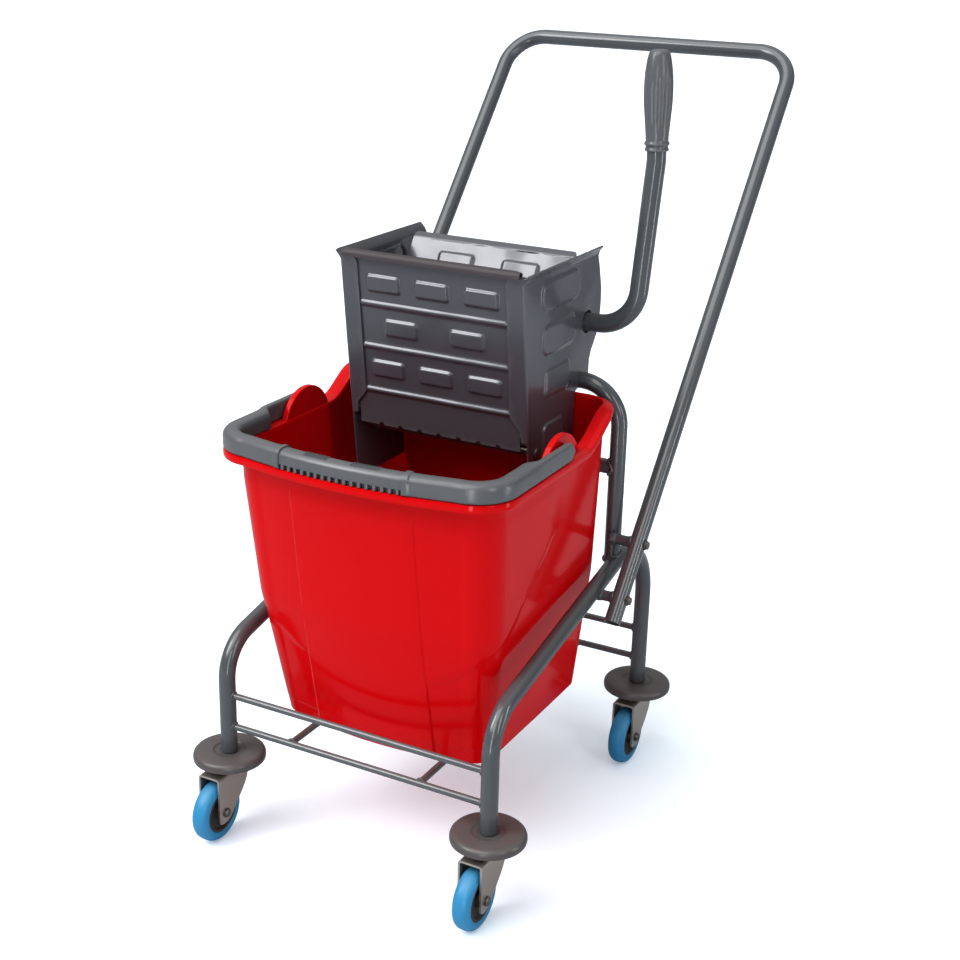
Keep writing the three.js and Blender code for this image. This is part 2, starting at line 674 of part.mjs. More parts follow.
/** Stations of the bail's centre line, from the left thick end round the front to the right one. */
function bailPath() {
  const section = inset(LIP, BAIL_W / 2);
  const flat = section.half - section.frontR;
  const stations = [];
  const add = (x, y, dx, dy) => stations.push({
    point: new THREE.Vector3(x, y, BAIL_Z),
    tangent: new THREE.Vector3(dx, dy, 0).normalize(),
  });
  const cornerY = section.front + section.frontR;
  add(-section.half, BAIL_THICK_END, 0, -1);
  for (let i = 0; i < 6; i += 1) {
    const angle = Math.PI + (Math.PI / 2) * (i / 6);
    add(-flat + section.frontR * Math.cos(angle), cornerY + section.frontR * Math.sin(angle),
      -Math.sin(angle), Math.cos(angle));
  }
  for (let i = 0; i <= 10; i += 1) {
    const x = -flat + (2 * flat * i) / 10;
    add(x, section.front - section.bulge * (1 - (x / flat) ** 2), 1, (2 * section.bulge * x) / flat ** 2);
  }
  for (let i = 1; i <= 6; i += 1) {
    const angle = -Math.PI / 2 + (Math.PI / 2) * (i / 6);
    add(flat + section.frontR * Math.cos(angle), cornerY + section.frontR * Math.sin(angle),
      -Math.sin(angle), Math.cos(angle));
  }
  add(section.half, BAIL_THICK_END, 0, 1);
  return new StationPath(stations);
}

function bailArm(sign) {
  const outer = LIP.half;
  const [from, to] = [sign * (outer - BAIL_WEB), sign * outer].sort((a, b) => a - b);
  const shape = new THREE.Shape();
  const radius = BAIL_H / 2;
  shape.absarc(EAR_Y, BAIL_Z, radius, -Math.PI / 2, Math.PI / 2);
  shape.lineTo(BAIL_THICK_END - 8, BAIL_Z + radius);
  shape.lineTo(BAIL_THICK_END - 8, BAIL_Z - radius);
  return plateX(shape, from, to);
}

function bailCollar(x) {
  const section = inset(LIP, BAIL_W / 2);
  const flat = section.half - section.frontR;
  const y = section.front - section.bulge * (1 - (x / flat) ** 2);
  const size = (BAIL_W + 2 * BAIL_COLLAR_RISE) / 2;
  const half = BAIL_COLLAR_W / 2;
  return box([-half, half], [-size, size], [-BAIL_H / 2, BAIL_H / 2 + BAIL_COLLAR_RISE])
    .rotateZ(Math.atan((2 * section.bulge * x) / flat ** 2)).translate(x, y, BAIL_Z);
}

function buildBail() {
  const profile = roundedRectangle(-BAIL_W / 2, BAIL_W / 2, -BAIL_H / 2, BAIL_H / 2, 5);
  const bow = sweep(profile, bailPath());
  const arms = SIDES.map(([, sign]) => bailArm(sign));
  const collars = [-1, 1].map((sign) => bailCollar(sign * BAIL_GRIP_HALF));
  const earFace = BODY_TOP.half - WALL + 1 + EAR_T;
  const pockets = SIDES.map(([, sign]) => (
    barX(PIVOT_R + FIT, sign * (earFace - 1), sign * (earFace + PIVOT_LENGTH + GAP), EAR_Y, BAIL_Z)));
  addPiece('bail_handle', combine([bow, ...arms, ...collars], pockets), 'plastic', load);
}

// ---------------------------------------------------------------- wringer

const FRONT_TILT = Math.atan(PLATE_SLOPE);

/** Lays a shape drawn as (across, down) into the wringer's sloping front, `back` behind its outer face. */
function onFront(geometry, back = 0) {
  return geometry
    .applyMatrix4(new THREE.Matrix4().makeBasis(
      new THREE.Vector3(1, 0, 0), new THREE.Vector3(0, 0, -1), new THREE.Vector3(0, 1, 0)))
    .translate(0, back, 0).rotateX(FRONT_TILT).translate(0, PLATE_FRONT_TOP, PLATE_TOP_Z);
}

/** Lays a shape drawn as (across, down) onto the press plate, whose top edge it starts from. */
function onPress(geometry, back = 0) {
  const height = PLATE_TOP_Z - PRESS_PIVOT_Z;
  const lean = -Math.atan((PRESS_TOP_Y - PRESS_PIVOT.y) / height);
  return geometry
    .applyMatrix4(new THREE.Matrix4().makeBasis(
      new THREE.Vector3(1, 0, 0), new THREE.Vector3(0, 0, -1), new THREE.Vector3(0, 1, 0)))
    .translate(0, back, 0).rotateX(lean).translate(0, PRESS_TOP_Y, PLATE_TOP_Z);
}

function sheet(shape, thickness) {
  return new THREE.ExtrudeGeometry(shape, { depth: thickness, bevelEnabled: false, curveSegments: 4 });
}

/** A pressed brick: a low block with sloping sides, standing out of the sheet's front. */
function brick(across, down) {
  const { width, height, rise } = BRICK;
  const block = new THREE.BoxGeometry(width, height, rise + 1);
  const place = block.attributes.position;
  for (let i = 0; i < place.count; i += 1) {
    if (place.getZ(i) < 0) {
      place.setX(i, place.getX(i) * ((width - 2 * rise) / width));
      place.setY(i, place.getY(i) * ((height - 2 * rise) / height));
    }
  }
  return block.translate(across, down, (1 - rise) / 2);
}

function brickField(rows) {
  return rows.flatMap(({ down, offsets }) => offsets.map((offset) => brick(offset * BRICK_PITCH, down)));
}

function ribs() {
  return RIB_ROWS.map((down) => new THREE.CylinderGeometry(RIB_R, RIB_R, 2 * RIB_HALF, 8)
    .rotateZ(Math.PI / 2).translate(0, down, 0.6));
}

function frontPlate() {
  const half = PLATE_INNER_X - 0.6;
  const step = half - 9;
  const outline = polygon([[-half, -5], [half, -5], [half, FRONT_DEPTH - 18], [step, FRONT_DEPTH - 18],
    [step, FRONT_DEPTH], [-step, FRONT_DEPTH], [-step, FRONT_DEPTH - 18], [-half, FRONT_DEPTH - 18]]);
  const back = SHEET + GAP;
  const skin = [sheet(outline, SHEET), ...brickField(BRICK_ROWS), ...ribs()];
  const hem = box([-half + 6, half - 6], [-6, 0.5], [-5, SHEET]);
  const notches = Array.from({ length: DRIP_NOTCHES }, (_, i) => (
    new THREE.CylinderGeometry(DRIP_NOTCH_R, DRIP_NOTCH_R, 12, 8).rotateX(Math.PI / 2)
      .translate((i - (DRIP_NOTCHES - 1) / 2) * DRIP_NOTCH_PITCH, FRONT_DEPTH, 0)));
  const joined = [...skin, hem].map((part) => onFront(part, back));
  return combine(joined, notches.map((cut) => onFront(cut, back)));
}

/** Outline of a side plate in the Y-Z plane, with the notch that hooks over the arch. */
function sidePlateShape() {
  const top = PLATE_TOP_Z;
  const low = top - PLATE_DROP;
  const at = (y, drop) => [y, top - drop];
  const notchR = TUBE_R + GAP;
  const frontLow = PLATE_FRONT_TOP + PLATE_SLOPE * PLATE_DROP;
  const shape = polygon([at(PLATE_FRONT_TOP, 0), at(frontLow, PLATE_DROP)]);
  shape.lineTo(PLATE_REAR_LOW, low);
  shape.lineTo(PLATE_REAR_LOW, RIM_Z + RIM_REAR_RISE + 1);
  shape.lineTo(LOAD_TO_ARCH - notchR, RIM_Z + RIM_REAR_RISE + 4);
  shape.absarc(LOAD_TO_ARCH, ARCH_Z, notchR, Math.PI, 0, true);
  shape.lineTo(LOAD_TO_ARCH + notchR, ARCH_Z - 3);
  [[133, 157], [133.5, 136], [138, 125], [145, 116], [151, 108], [158, 82], [160, 68], [160, 55], [156, 42],
    [PLATE_REAR_TOP, 0]].forEach(([y, drop]) => shape.lineTo(...at(y, drop)));
  return shape;
}

/** The side plates' pressed panels: Y from and to, drop from and to, corner radius. */
const SIDE_PANELS = [
  [-7, 97, 14, 52, 16],
  [0, 90, 66, 104, 14],
  [10, 78, 119, 155.5, 10],
  [9, 66, 183, 240, 10],
];

function sidePlate(sign) {
  const outer = sign * PLATE_X;
  const span = (a, b) => [Math.min(a, b), Math.max(a, b)];
  const body = plateX(sidePlateShape(), ...span(outer, sign * PLATE_INNER_X));
  const panels = SIDE_PANELS.map(([yFrom, yTo, dropFrom, dropTo, radius]) => plateX(
    roundedRectangle(yFrom, yTo, PLATE_TOP_Z - dropTo, PLATE_TOP_Z - dropFrom, radius),
    ...span(outer - sign, outer + sign * 2.5)));
  const flare = new THREE.ExtrudeGeometry(polygon([[PLATE_INNER_X, -FLARE_H], [PLATE_X, -FLARE_H],
    [PLATE_X + FLARE_OUT, 0], [PLATE_X + FLARE_OUT - SHEET, 1], [PLATE_INNER_X, -FLARE_H + 4]]
    .map(([x, z]) => [sign * x, z])), { depth: PLATE_REAR_TOP - PLATE_FRONT_TOP - 4, bevelEnabled: false })
    .rotateX(Math.PI / 2).translate(0, PLATE_REAR_TOP, PLATE_TOP_Z);
  const flangeCorners = [[0, 3], [0, FRONT_DEPTH - 13], [8, FRONT_DEPTH - 13], [9, FRONT_DEPTH - 26],
    [FLANGE_W, FRONT_DEPTH - 40], [FLANGE_W, 3]];
  const flangeShape = polygon(flangeCorners.map(([inward, down]) => [sign * (PLATE_X - inward), down]));
  const flange = onFront(sheet(flangeShape, SHEET));
  const holes = [barX(LEVER_R + 3, outer - 6, outer + 6, LEVER_Y, LEVER_Z, 16),
    barX(PRESS_ROD_R + FIT, outer - 6, outer + 6, PRESS_PIVOT.y, PRESS_PIVOT_Z),
    barX(PRESS_ROD_R + FIT, outer - 6, outer + 6, TIE_ROD.y, TIE_ROD_Z)];
  return combine([body, flange, flare, ...panels], holes);
}

/** A rod across the wringer with a head outside each side plate. */
function crossRod(y, z) {
  const head = PLATE_X + 2.5 + GAP;
  return combine([barX(PRESS_ROD_R, -head - 1, head + 1, y, z), ...SIDES.map(([, sign]) => (
    barX(PRESS_ROD_R + 3, sign * (PLATE_X + GAP), sign * head, y, z)))]);
}

function pressPlate() {
  const half = PRESS_W / 2;
  const length = Math.hypot(PRESS_TOP_Y - PRESS_PIVOT.y, PLATE_TOP_Z - PRESS_PIVOT_Z);
  const outline = polygon([[-half, 0], [half, 0], [half, length - 4], [-half, length - 4]]);
  const rows = BRICK_ROWS.map(({ down, offsets }) => ({
    down,
    offsets: offsets.length === 3 ? [-0.68, 0.68] : [-1, 0, 1],
  }));
  const hem = box([-half, half], [-1.5, PRESS_HEM], [-4, 0.5]);
  const skin = [sheet(outline, SHEET), ...brickField(rows), hem, ...ribs()];
  const barrel = barX(PRESS_BARREL_R, -half + 10, half - 10, PRESS_PIVOT.y, PRESS_PIVOT_Z);
  const bore = barX(PRESS_ROD_R + FIT, -half, half, PRESS_PIVOT.y, PRESS_PIVOT_Z);
  return combine([...skin.map((part) => onPress(part)), barrel], [bore]);
}

function buildWringer() {
  addPiece('wringer_front_plate', frontPlate(), 'wringer', load);
  SIDES.forEach(([side, sign]) => addPiece(`wringer_side_${side}`, sidePlate(sign), 'wringer', load));
  addPiece('press_pivot_rod', crossRod(PRESS_PIVOT.y, PRESS_PIVOT_Z), 'bolt', load);
  addPiece('wringer_tie_rod', crossRod(TIE_ROD.y, TIE_ROD_Z), 'bolt', load);
  addPiece('press_plate', pressPlate(), 'wringer', load);
  SIDES.forEach(([side, sign]) => {
    const face = sign * (PLATE_INNER_X - GAP);
    const bush = combine([barX(BUSH_R, face, face - sign * BUSH_H, LEVER_Y, LEVER_Z, 20)],
      [barX(LEVER_R + FIT, face + sign, face - sign * (BUSH_H + 1), LEVER_Y, LEVER_Z, 16)]);
    addPiece(`lever_bush_${side}`, bush, 'hub', load);
  });
}

// ---------------------------------------------------------------- lever

function leverCorners() {
  const upright = PLATE_X + LEVER_OUT;
  const kinkZ = LEVER_Z + LEVER_KINK_RISE;
  const topZ = LEVER_Z + GRIP_RISE + GRIP_H - 14;
  const places = [[-PLATE_X - 6, LEVER_Z], [upright, LEVER_Z], [upright + LEVER_LEAN, kinkZ],
    [upright + LEVER_LEAN - 3.5, topZ]];
  return places.map(([x, z]) => [x, LEVER_Y, z]);
}

function buildLever() {
  const path = bentPath(leverCorners(), [LEVER_BEND, LEVER_BEND]);
  addPiece('lever_tube', tube(path, LEVER_R, 2), 'frame', load);
  const [, , kink, top] = leverCorners().map((corner) => new THREE.Vector3(...corner));
  const axis = top.clone().sub(kink).normalize();
  const foot = kink.clone().addScaledVector(axis, GRIP_RISE - LEVER_KINK_RISE);
  const bore = LEVER_R + GAP;
  const cap = GRIP_H - 10;
  const flange = [[bore, 0], [13.5, 0], [14, 2], [13.7, 6], [12.6, 8], [13, 16]];
  const belly = [[GRIP_R - 1.7, 36], [GRIP_R, 58], [GRIP_R, 78], [GRIP_R - 1.6, 98], [GRIP_R - 4, 105]];
  const end = [[8, 109], [0, GRIP_H], [0, cap], [bore, cap], [bore, 0]];
  const profile = [...flange, ...belly, ...end];
  const grip = lathe(profile, 20)
    .applyQuaternion(new THREE.Quaternion().setFromUnitVectors(new THREE.Vector3(0, 0, 1), axis))
    .translate(...foot.toArray());
  addPiece('lever_grip', grip, 'plastic', load);
  SIDES.forEach(([side, sign]) => addPiece(`lever_cam_${side}`, camGeometry(sign), 'wringer', load));
}

function camGeometry(sign) {
  const middle = sign * CAM_X;
  const lean = THREE.MathUtils.degToRad(CAM_LEAN);
  const spread = Math.asin((CAM_HUB_R - CAM_TIP_R) / CAM_ARM);
  const shape = new THREE.Shape();
  shape.absarc(0, 0, CAM_HUB_R, Math.PI - spread, spread);
  shape.absarc(0, CAM_ARM, CAM_TIP_R, spread, Math.PI - spread);
  const arm = plateX(shape, middle - CAM_T / 2, middle + CAM_T / 2).rotateX(lean);
  arm.translate(0, LEVER_Y, LEVER_Z);
  return combine([arm], [barX(LEVER_R + GAP, middle - CAM_T, middle + CAM_T, LEVER_Y, LEVER_Z, 16)]);
}

buildSideFrames();
buildArch();
buildRods();
buildHandle();
buildCastors();
buildBucket();
buildBail();
buildWringer();
buildLever();

export default trolley;
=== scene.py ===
"""Cleaning trolley: red bucket, grey press wringer and bent tube frame on four swivel castors.

Sizes are in millimetres in a working frame whose Y is zero at the middle of the wheelbase. Layout
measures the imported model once, and turns working millimetres into metres in the model's own frame.
"""
import logging
import math
from dataclasses import dataclass, field
from enum import Enum
from typing import Callable, Iterable, Sequence

import bmesh
import bpy
from mathutils import Matrix, Vector, noise
from mathutils.geometry import delaunay_2d_cdt


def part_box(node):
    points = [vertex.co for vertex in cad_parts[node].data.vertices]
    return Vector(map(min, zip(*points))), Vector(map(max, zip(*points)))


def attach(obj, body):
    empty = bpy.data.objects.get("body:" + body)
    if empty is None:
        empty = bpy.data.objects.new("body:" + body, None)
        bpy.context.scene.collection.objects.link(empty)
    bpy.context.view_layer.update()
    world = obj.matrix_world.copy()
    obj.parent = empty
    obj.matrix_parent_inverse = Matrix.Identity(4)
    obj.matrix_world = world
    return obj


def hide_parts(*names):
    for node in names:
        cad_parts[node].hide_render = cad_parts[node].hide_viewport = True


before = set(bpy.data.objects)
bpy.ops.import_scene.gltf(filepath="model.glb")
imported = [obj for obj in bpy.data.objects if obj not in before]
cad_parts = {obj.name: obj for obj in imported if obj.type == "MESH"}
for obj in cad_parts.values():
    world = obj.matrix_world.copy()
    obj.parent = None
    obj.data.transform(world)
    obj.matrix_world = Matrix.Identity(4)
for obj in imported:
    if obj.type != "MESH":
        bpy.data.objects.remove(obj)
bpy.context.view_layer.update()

MM = 0.001
LOG = logging.getLogger("trolley")

TUBE_R = 10.0  # frame tube, outer radius
SHEET = 2.0  # wringer sheet
FLARE_OUT = 7.0  # how far the side plates' top edges lean out
GAP = 0.3  # between parts that touch
BAIL_H = 22.0
RUBBED_EDGE = (0.53, 0.62)  # pointiness where wear starts and is full
FACES_UP = (0.6, 1.0)  # upward part of the normal where dust starts and is full
RIPPLE_SCALE = 38.0
DUST_COLOUR = (0.62, 0.6, 0.57, 1)

Point2 = tuple[float, float]
Colour = tuple[float, float, float]


def linear(red: int, green: int, blue: int) -> Colour:
    """Turns a display colour into scene-linear values.

    Args:
        red: Red, 0 to 255.
        green: Green, 0 to 255.
        blue: Blue, 0 to 255.

    Returns:
        The three linear components.
    """
    def one(value: int) -> float:
        """Linearises one component."""
        share = value / 255
        return share / 12.92 if share <= 0.04045 else ((share + 0.055) / 1.055) ** 2.4

    return one(red), one(green), one(blue)


def smooth(value: float) -> float:
    """Smooth step of a value that is held between 0 and 1."""
    held = min(max(value, 0.0), 1.0)
    return held * held * (3 - 2 * held)


# ------------------------------------------------------------------------------------------ node graphs


class Graph:
    """Builds one node tree."""

    def __init__(self, tree: bpy.types.NodeTree) -> None:
        """Takes the tree to build in.

        Args:
            tree: A shader or geometry node tree.
        """
        self.tree = tree

    def socket(self, name: str, kind: str, default: object = None, output: bool = False) -> str:
        """Adds a socket to the tree's interface.

        Args:
            name: The socket's name.
            kind: Its type, such as Float or Geometry.
            default: Its default value, where it has one.
            output: True for an output.

        Returns:
            The socket's identifier.
        """
        made = self.tree.interface.new_socket(
            name=name, in_out="OUTPUT" if output else "INPUT", socket_type="NodeSocket" + kind)
        if default is not None:
            made.default_value = default
        return made.identifier

    def node(self, kind: str, settings: dict[str, object] | None = None, **inputs: object) -> bpy.types.Node:
        """Adds a node, sets its properties and joins or sets its inputs.

        Args:
            kind: The node's type name.
            settings: Properties of the node itself.
            **inputs: Values or output sockets by input name, with spaces written as underscores.

        Returns:
            The new node.
        """
        made = self.tree.nodes.new(kind)
        for key, value in (settings or {}).items():
            setattr(made, key, value)
        for key, value in inputs.items():
            self.feed(made.inputs[int(key[1:]) if key[1:].isdigit() else key.replace("_", " ")], value)
        return made

    def feed(self, socket: bpy.types.NodeSocket, value: object) -> None:
        """Links an output to an input, or sets the input's value.

        Args:
            socket: The input.
            value: An output socket or a plain value.
        """
        if isinstance(value, bpy.types.NodeSocket):
            self.tree.links.new(value, socket)
        else:
            socket.default_value = value


def tone_group() -> bpy.types.NodeTree:
    """Builds the shader group that mottles, wears and dusts a finish.

    Returns:
        The group, with outputs Color, Roughness and Height.
    """
    graph = Graph(bpy.data.node_groups.new("finish_tone", "ShaderNodeTree"))
    graph.socket("Vector", "Vector")
    for name, grey in (("Base", 0.5), ("Deep", 0.4), ("Worn", 0.6)):
        graph.socket(name, "Color", (grey, grey, grey, 1))
    for name, value in (("Patch Scale", 9.0), ("Grain Scale", 900.0), ("Mottle", 0.3), ("Wear", 0.2),
                        ("Dust", 0.05), ("Roughness", 0.4), ("Roughness Spread", 0.08), ("Wave", 0.0)):
        graph.socket(name, "Float", value)
    graph.socket("Color", "Color", output=True)
    graph.socket("Roughness", "Float", output=True)
    graph.socket("Height", "Float", output=True)
    given = graph.node("NodeGroupInput").outputs

    def clouds(scale: object, detail: float) -> bpy.types.NodeSocket:
        """Noise over the surface."""
        made = graph.node("ShaderNodeTexNoise", Vector=given["Vector"], Scale=scale, Detail=detail)
        return made.outputs["Fac"]

    def sums(kind: str, *values: object, clamp: bool = False) -> bpy.types.NodeSocket:
        """Result of one step of arithmetic."""
        made = graph.node("ShaderNodeMath", {"operation": kind, "use_clamp": clamp})
        for socket, value in zip(made.inputs, values):
            graph.feed(socket, value)
        return made.outputs[0]

    def ramp(value: bpy.types.NodeSocket, low: float, high: float) -> bpy.types.NodeSocket:
        """A value's place between two limits, 0 to 1."""
        return graph.node("ShaderNodeMapRange", Value=value, From_Min=low, From_Max=high).outputs[0]

    def blend(share: object, first: object, second: object) -> bpy.types.NodeSocket:
        """A mix of two colours."""
        made = graph.node("ShaderNodeMix", {"data_type": "RGBA"}, _0=share, _6=first, _7=second)
        return made.outputs[2]

    patch, grain = clouds(given["Patch Scale"], 3.0), clouds(given["Grain Scale"], 2.0)
    surface = graph.node("ShaderNodeNewGeometry").outputs
    upward = graph.node("ShaderNodeSeparateXYZ", Vector=surface["Normal"]).outputs["Z"]
    toned = blend(sums("MULTIPLY", patch, given["Mottle"]), given["Base"], given["Deep"])
    rubbed = sums("MULTIPLY", ramp(surface["Pointiness"], *RUBBED_EDGE), patch)
    worn = blend(sums("MULTIPLY", rubbed, given["Wear"]), toned, given["Worn"])
    dust = sums("MULTIPLY", ramp(upward, *FACES_UP), given["Dust"])
    spread = sums("MULTIPLY_ADD", sums("SUBTRACT", patch, 0.5), given["Roughness Spread"], given["Roughness"])
    height = sums("MULTIPLY_ADD", clouds(RIPPLE_SCALE, 1.0), given["Wave"], grain)
    graph.node("NodeGroupOutput", Color=blend(dust, worn, DUST_COLOUR),
               Roughness=sums("ADD", spread, dust, clamp=True), Height=height)
    return graph.tree


class Lay(Enum):
    """Which way a finish's fine grain runs."""

    EVEN = (1.0, 1.0, 1.0)
    UPRIGHT = (1.0, 1.0, 0.06)


@dataclass(frozen=True)
class Finish:
    """One finish, and how its surface departs from an even colour."""

    name: str
    base: Colour
    deep: Colour
    worn: Colour
    roughness: float
    spread: float = 0.1
    metallic: float = 0.0
    coat: float = 0.0
    specular: float = 0.5
    mottle: float = 0.5
    wear: float = 0.3
    dust: float = 0.04
    grain_scale: float = 900.0
    grain_depth: float = 0.00002
    bump: float = 0.15
    wave: float = 0.0
    lay: Lay = Lay.EVEN

    def build(self, tone: bpy.types.NodeTree) -> bpy.types.Material:
        """Makes the material.

        Args:
            tone: The shared group from tone_group.

        Returns:
            The finished material.
        """
        material = bpy.data.materials.new(self.name)
        material.use_nodes = True
        graph = Graph(material.node_tree)
        shader = material.node_tree.nodes["Principled BSDF"]
        where = graph.node("ShaderNodeTexCoord")
        laid = graph.node("ShaderNodeMapping", Vector=where.outputs["Object"], Scale=self.lay.value)
        group = graph.node("ShaderNodeGroup", {"node_tree": tone}, Vector=laid.outputs[0],
                           Base=(*self.base, 1), Deep=(*self.deep, 1), Worn=(*self.worn, 1),
                           Grain_Scale=self.grain_scale, Mottle=self.mottle, Wear=self.wear, Dust=self.dust,
                           Roughness=self.roughness, Roughness_Spread=self.spread, Wave=self.wave)
        bump = graph.node("ShaderNodeBump", Height=group.outputs["Height"], Strength=self.bump,
                          Distance=self.grain_depth)
        for name, value in (("Base Color", group.outputs["Color"]), ("Roughness", group.outputs["Roughness"]),
                            ("Normal", bump.outputs[0]), ("Metallic", self.metallic),
                            ("Coat Weight", self.coat), ("Coat Roughness", 0.08),
                            ("Specular IOR Level", self.specular)):
            graph.feed(shader.inputs[name], value)
        return material


FRAME_COAT = Finish(
    "frame_powder_coat", linear(78, 82, 85), linear(66, 70, 73), linear(140, 140, 138), 0.2,
    coat=0.35, grain_scale=700, grain_depth=0.00003, bump=0.25, wear=0.25)
WRINGER_COAT = Finish(
    "wringer_powder_coat", linear(92, 92, 98), linear(76, 76, 83), linear(160, 160, 160), 0.25,
    metallic=0.25, coat=0.3, grain_scale=600, grain_depth=0.00005, bump=0.3, wave=6.0, wear=0.3)
# Painted shade: the hem has the wringer's own grey paint, but this darker, reddish colour paints the shade
# and the red bucket's reflection on its top edge.
HEM_COAT = Finish(
    "wringer_hem_coat", linear(50, 43, 46), linear(42, 36, 39), linear(110, 106, 108), 0.5,
    grain_scale=600, grain_depth=0.00005, bump=0.3, wear=0.3)
BUCKET_GLOSS = Finish(
    "bucket_red_gloss", linear(196, 5, 12), linear(178, 2, 9), linear(215, 40, 40), 0.14, spread=0.06,
    coat=0.1, specular=0.12, mottle=0.3, grain_scale=260, grain_depth=0.00003, bump=0.1, wave=2.0,
    wear=0.15, dust=0.015)
GREY_MOULDED = Finish(
    "grey_moulded", linear(92, 94, 96), linear(80, 82, 85), linear(140, 140, 140), 0.27,
    grain_scale=1500, grain_depth=0.00003, bump=0.3)
BUMPER_MOULDED = Finish(
    "bumper_moulded", linear(84, 80, 79), linear(70, 67, 66), linear(120, 116, 114), 0.34,
    grain_scale=1200, grain_depth=0.00003, bump=0.3)
BLUE_TYRE = Finish(
    "tyre_blue", linear(44, 136, 178), linear(32, 112, 158), linear(96, 170, 200), 0.42,
    grain_scale=800, grain_depth=0.00004, bump=0.35, mottle=0.6, dust=0.06)
DARK_HUB = Finish(
    "hub_dark", linear(62, 57, 54), linear(44, 41, 39), linear(96, 90, 86), 0.45,
    grain_scale=1200, bump=0.3)
FORK_STEEL = Finish(
    "fork_zinc_plate", linear(196, 190, 181), linear(168, 161, 152), linear(222, 218, 212), 0.3, spread=0.16,
    metallic=0.85, mottle=0.8, grain_scale=2600, grain_depth=0.00003, bump=0.2, lay=Lay.UPRIGHT)
DARK_ZINC = Finish(
    "bolt_dark_zinc", linear(120, 116, 110), linear(84, 81, 77), linear(180, 176, 170), 0.34,
    metallic=0.8, mottle=0.7, grain_scale=1800, bump=0.3)
FINISHES = (FRAME_COAT, WRINGER_COAT, HEM_COAT, BUCKET_GLOSS, GREY_MOULDED, BUMPER_MOULDED, BLUE_TYRE,
            DARK_HUB, FORK_STEEL, DARK_ZINC)


class Paintbox:
    """Holds every finish's material."""

    def __init__(self) -> None:
        """Builds the shared group and all materials."""
        tone = tone_group()
        self.made = {finish.name: finish.build(tone) for finish in FINISHES}

    def dress(self, piece: bpy.types.Object, finish: Finish) -> None:
        """Gives a piece one finish all over.

        Args:
            piece: The object to dress.
            finish: The finish it gets.
        """
        if piece.material_slots:
            for held in piece.material_slots:
                held.material = self.made[finish.name]
        else:
            piece.data.materials.append(self.made[finish.name])


# ------------------------------------------------------------------------------------------ layout


@dataclass(frozen=True)
class Layout:
    """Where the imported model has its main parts, in working millimetres."""

    mid_y: float
    leg_x: float
    leg_y: float
    leg_foot: float
    arch_x: float
    arch_y: float
    arch_z: float
    bucket_z: float
    rim_z: float
    bail_z: float
    plate_x: float
    plate_top: float
    lever: Point2
    press_pivot: Point2
    tie_rod: Point2
    cross_z: float
    rod_low: float
    rod_high: float

    @classmethod
    def measure(cls) -> "Layout":
        """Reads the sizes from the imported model's boxes.

        Returns:
            The measured layout.
        """
        def middle(node: str) -> Vector:
            """Middle of a node's box, in millimetres."""
            low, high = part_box(node)
            return (low + high) / 2 / MM

        def low(node: str) -> Vector:
            """Lowest corner of a node's box, in millimetres."""
            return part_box(node)[0] / MM

        def high(node: str) -> Vector:
            """Highest corner of a node's box, in millimetres."""
            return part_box(node)[1] / MM

        front, rear = middle("bumper_disc_front_right"), middle("bumper_disc_rear_right")
        mid_y = (front.y + rear.y) / 2
        lever, pivot, tie = middle("lever_bush_right"), middle("press_pivot_rod"), middle("wringer_tie_rod")
        return cls(
            mid_y=mid_y, leg_x=front.x, leg_y=(rear.y - front.y) / 2, leg_foot=low("side_frame_right").z,
            arch_x=high("rear_arch").x - TUBE_R, arch_y=middle("arch_cross_tube").y - mid_y,
            arch_z=high("rear_arch").z - TUBE_R, bucket_z=low("bucket_shell").z,
            rim_z=low("bail_handle").z - GAP, bail_z=low("bail_handle").z + BAIL_H / 2,
            plate_x=high("wringer_side_right").x - FLARE_OUT, plate_top=high("press_plate").z,
            lever=(lever.y - mid_y, lever.z), press_pivot=(pivot.y - mid_y, pivot.z),
            tie_rod=(tie.y - mid_y, tie.z), cross_z=middle("arch_cross_tube").z,
            rod_low=middle("front_rod_lower").z, rod_high=middle("front_rod_upper").z)

    def metres(self, place: Sequence[float]) -> Vector:
        """A working point as metres in the model's frame.

        Args:
            place: X, Y and Z in working millimetres.

        Returns:
            The same point in metres.
        """
        return Vector((place[0] * MM, (place[1] + self.mid_y) * MM, place[2] * MM))


LAYOUT = Layout.measure()


# ------------------------------------------------------------------------------------------ meshes


@dataclass
class Shell:
    """A surface being built in working millimetres."""

    verts: list[Vector] = field(default_factory=list)
    faces: list[tuple[int, ...]] = field(default_factory=list)

    def join(self, other: "Shell") -> "Shell":
        """Adds another surface to this one.

        Args:
            other: The surface to add.

        Returns:
            This surface.
        """
        start = len(self.verts)
        self.verts.extend(other.verts)
        self.faces.extend(tuple(i + start for i in face) for face in other.faces)
        return self

    def moved(self, matrix: Matrix) -> "Shell":
        """This surface, moved.

        Args:
            matrix: The move.

        Returns:
            A new surface.
        """
        return Shell([matrix @ vert for vert in self.verts], list(self.faces))

    def mesh(self, name: str, sharp: float = 38, outward: bool = True) -> bpy.types.Mesh:
        """Makes a Blender mesh in metres.

        Args:
            name: The mesh's name.
            sharp: Edges that turn more than this many degrees stay sharp.
            outward: True to turn all faces outward.

        Returns:
            The mesh.
        """
        data = bpy.data.meshes.new(name)
        data.from_pydata([LAYOUT.metres(vert) for vert in self.verts], [], self.faces)
        work = bmesh.new()
        work.from_mesh(data)
        bmesh.ops.remove_doubles(work, verts=work.verts, dist=1e-6)
        if outward:
            bmesh.ops.recalc_face_normals(work, faces=work.faces)
        work.to_mesh(data)
        work.free()
        data.shade_smooth()
        data.set_sharp_from_angle(angle=math.radians(sharp))
        return data


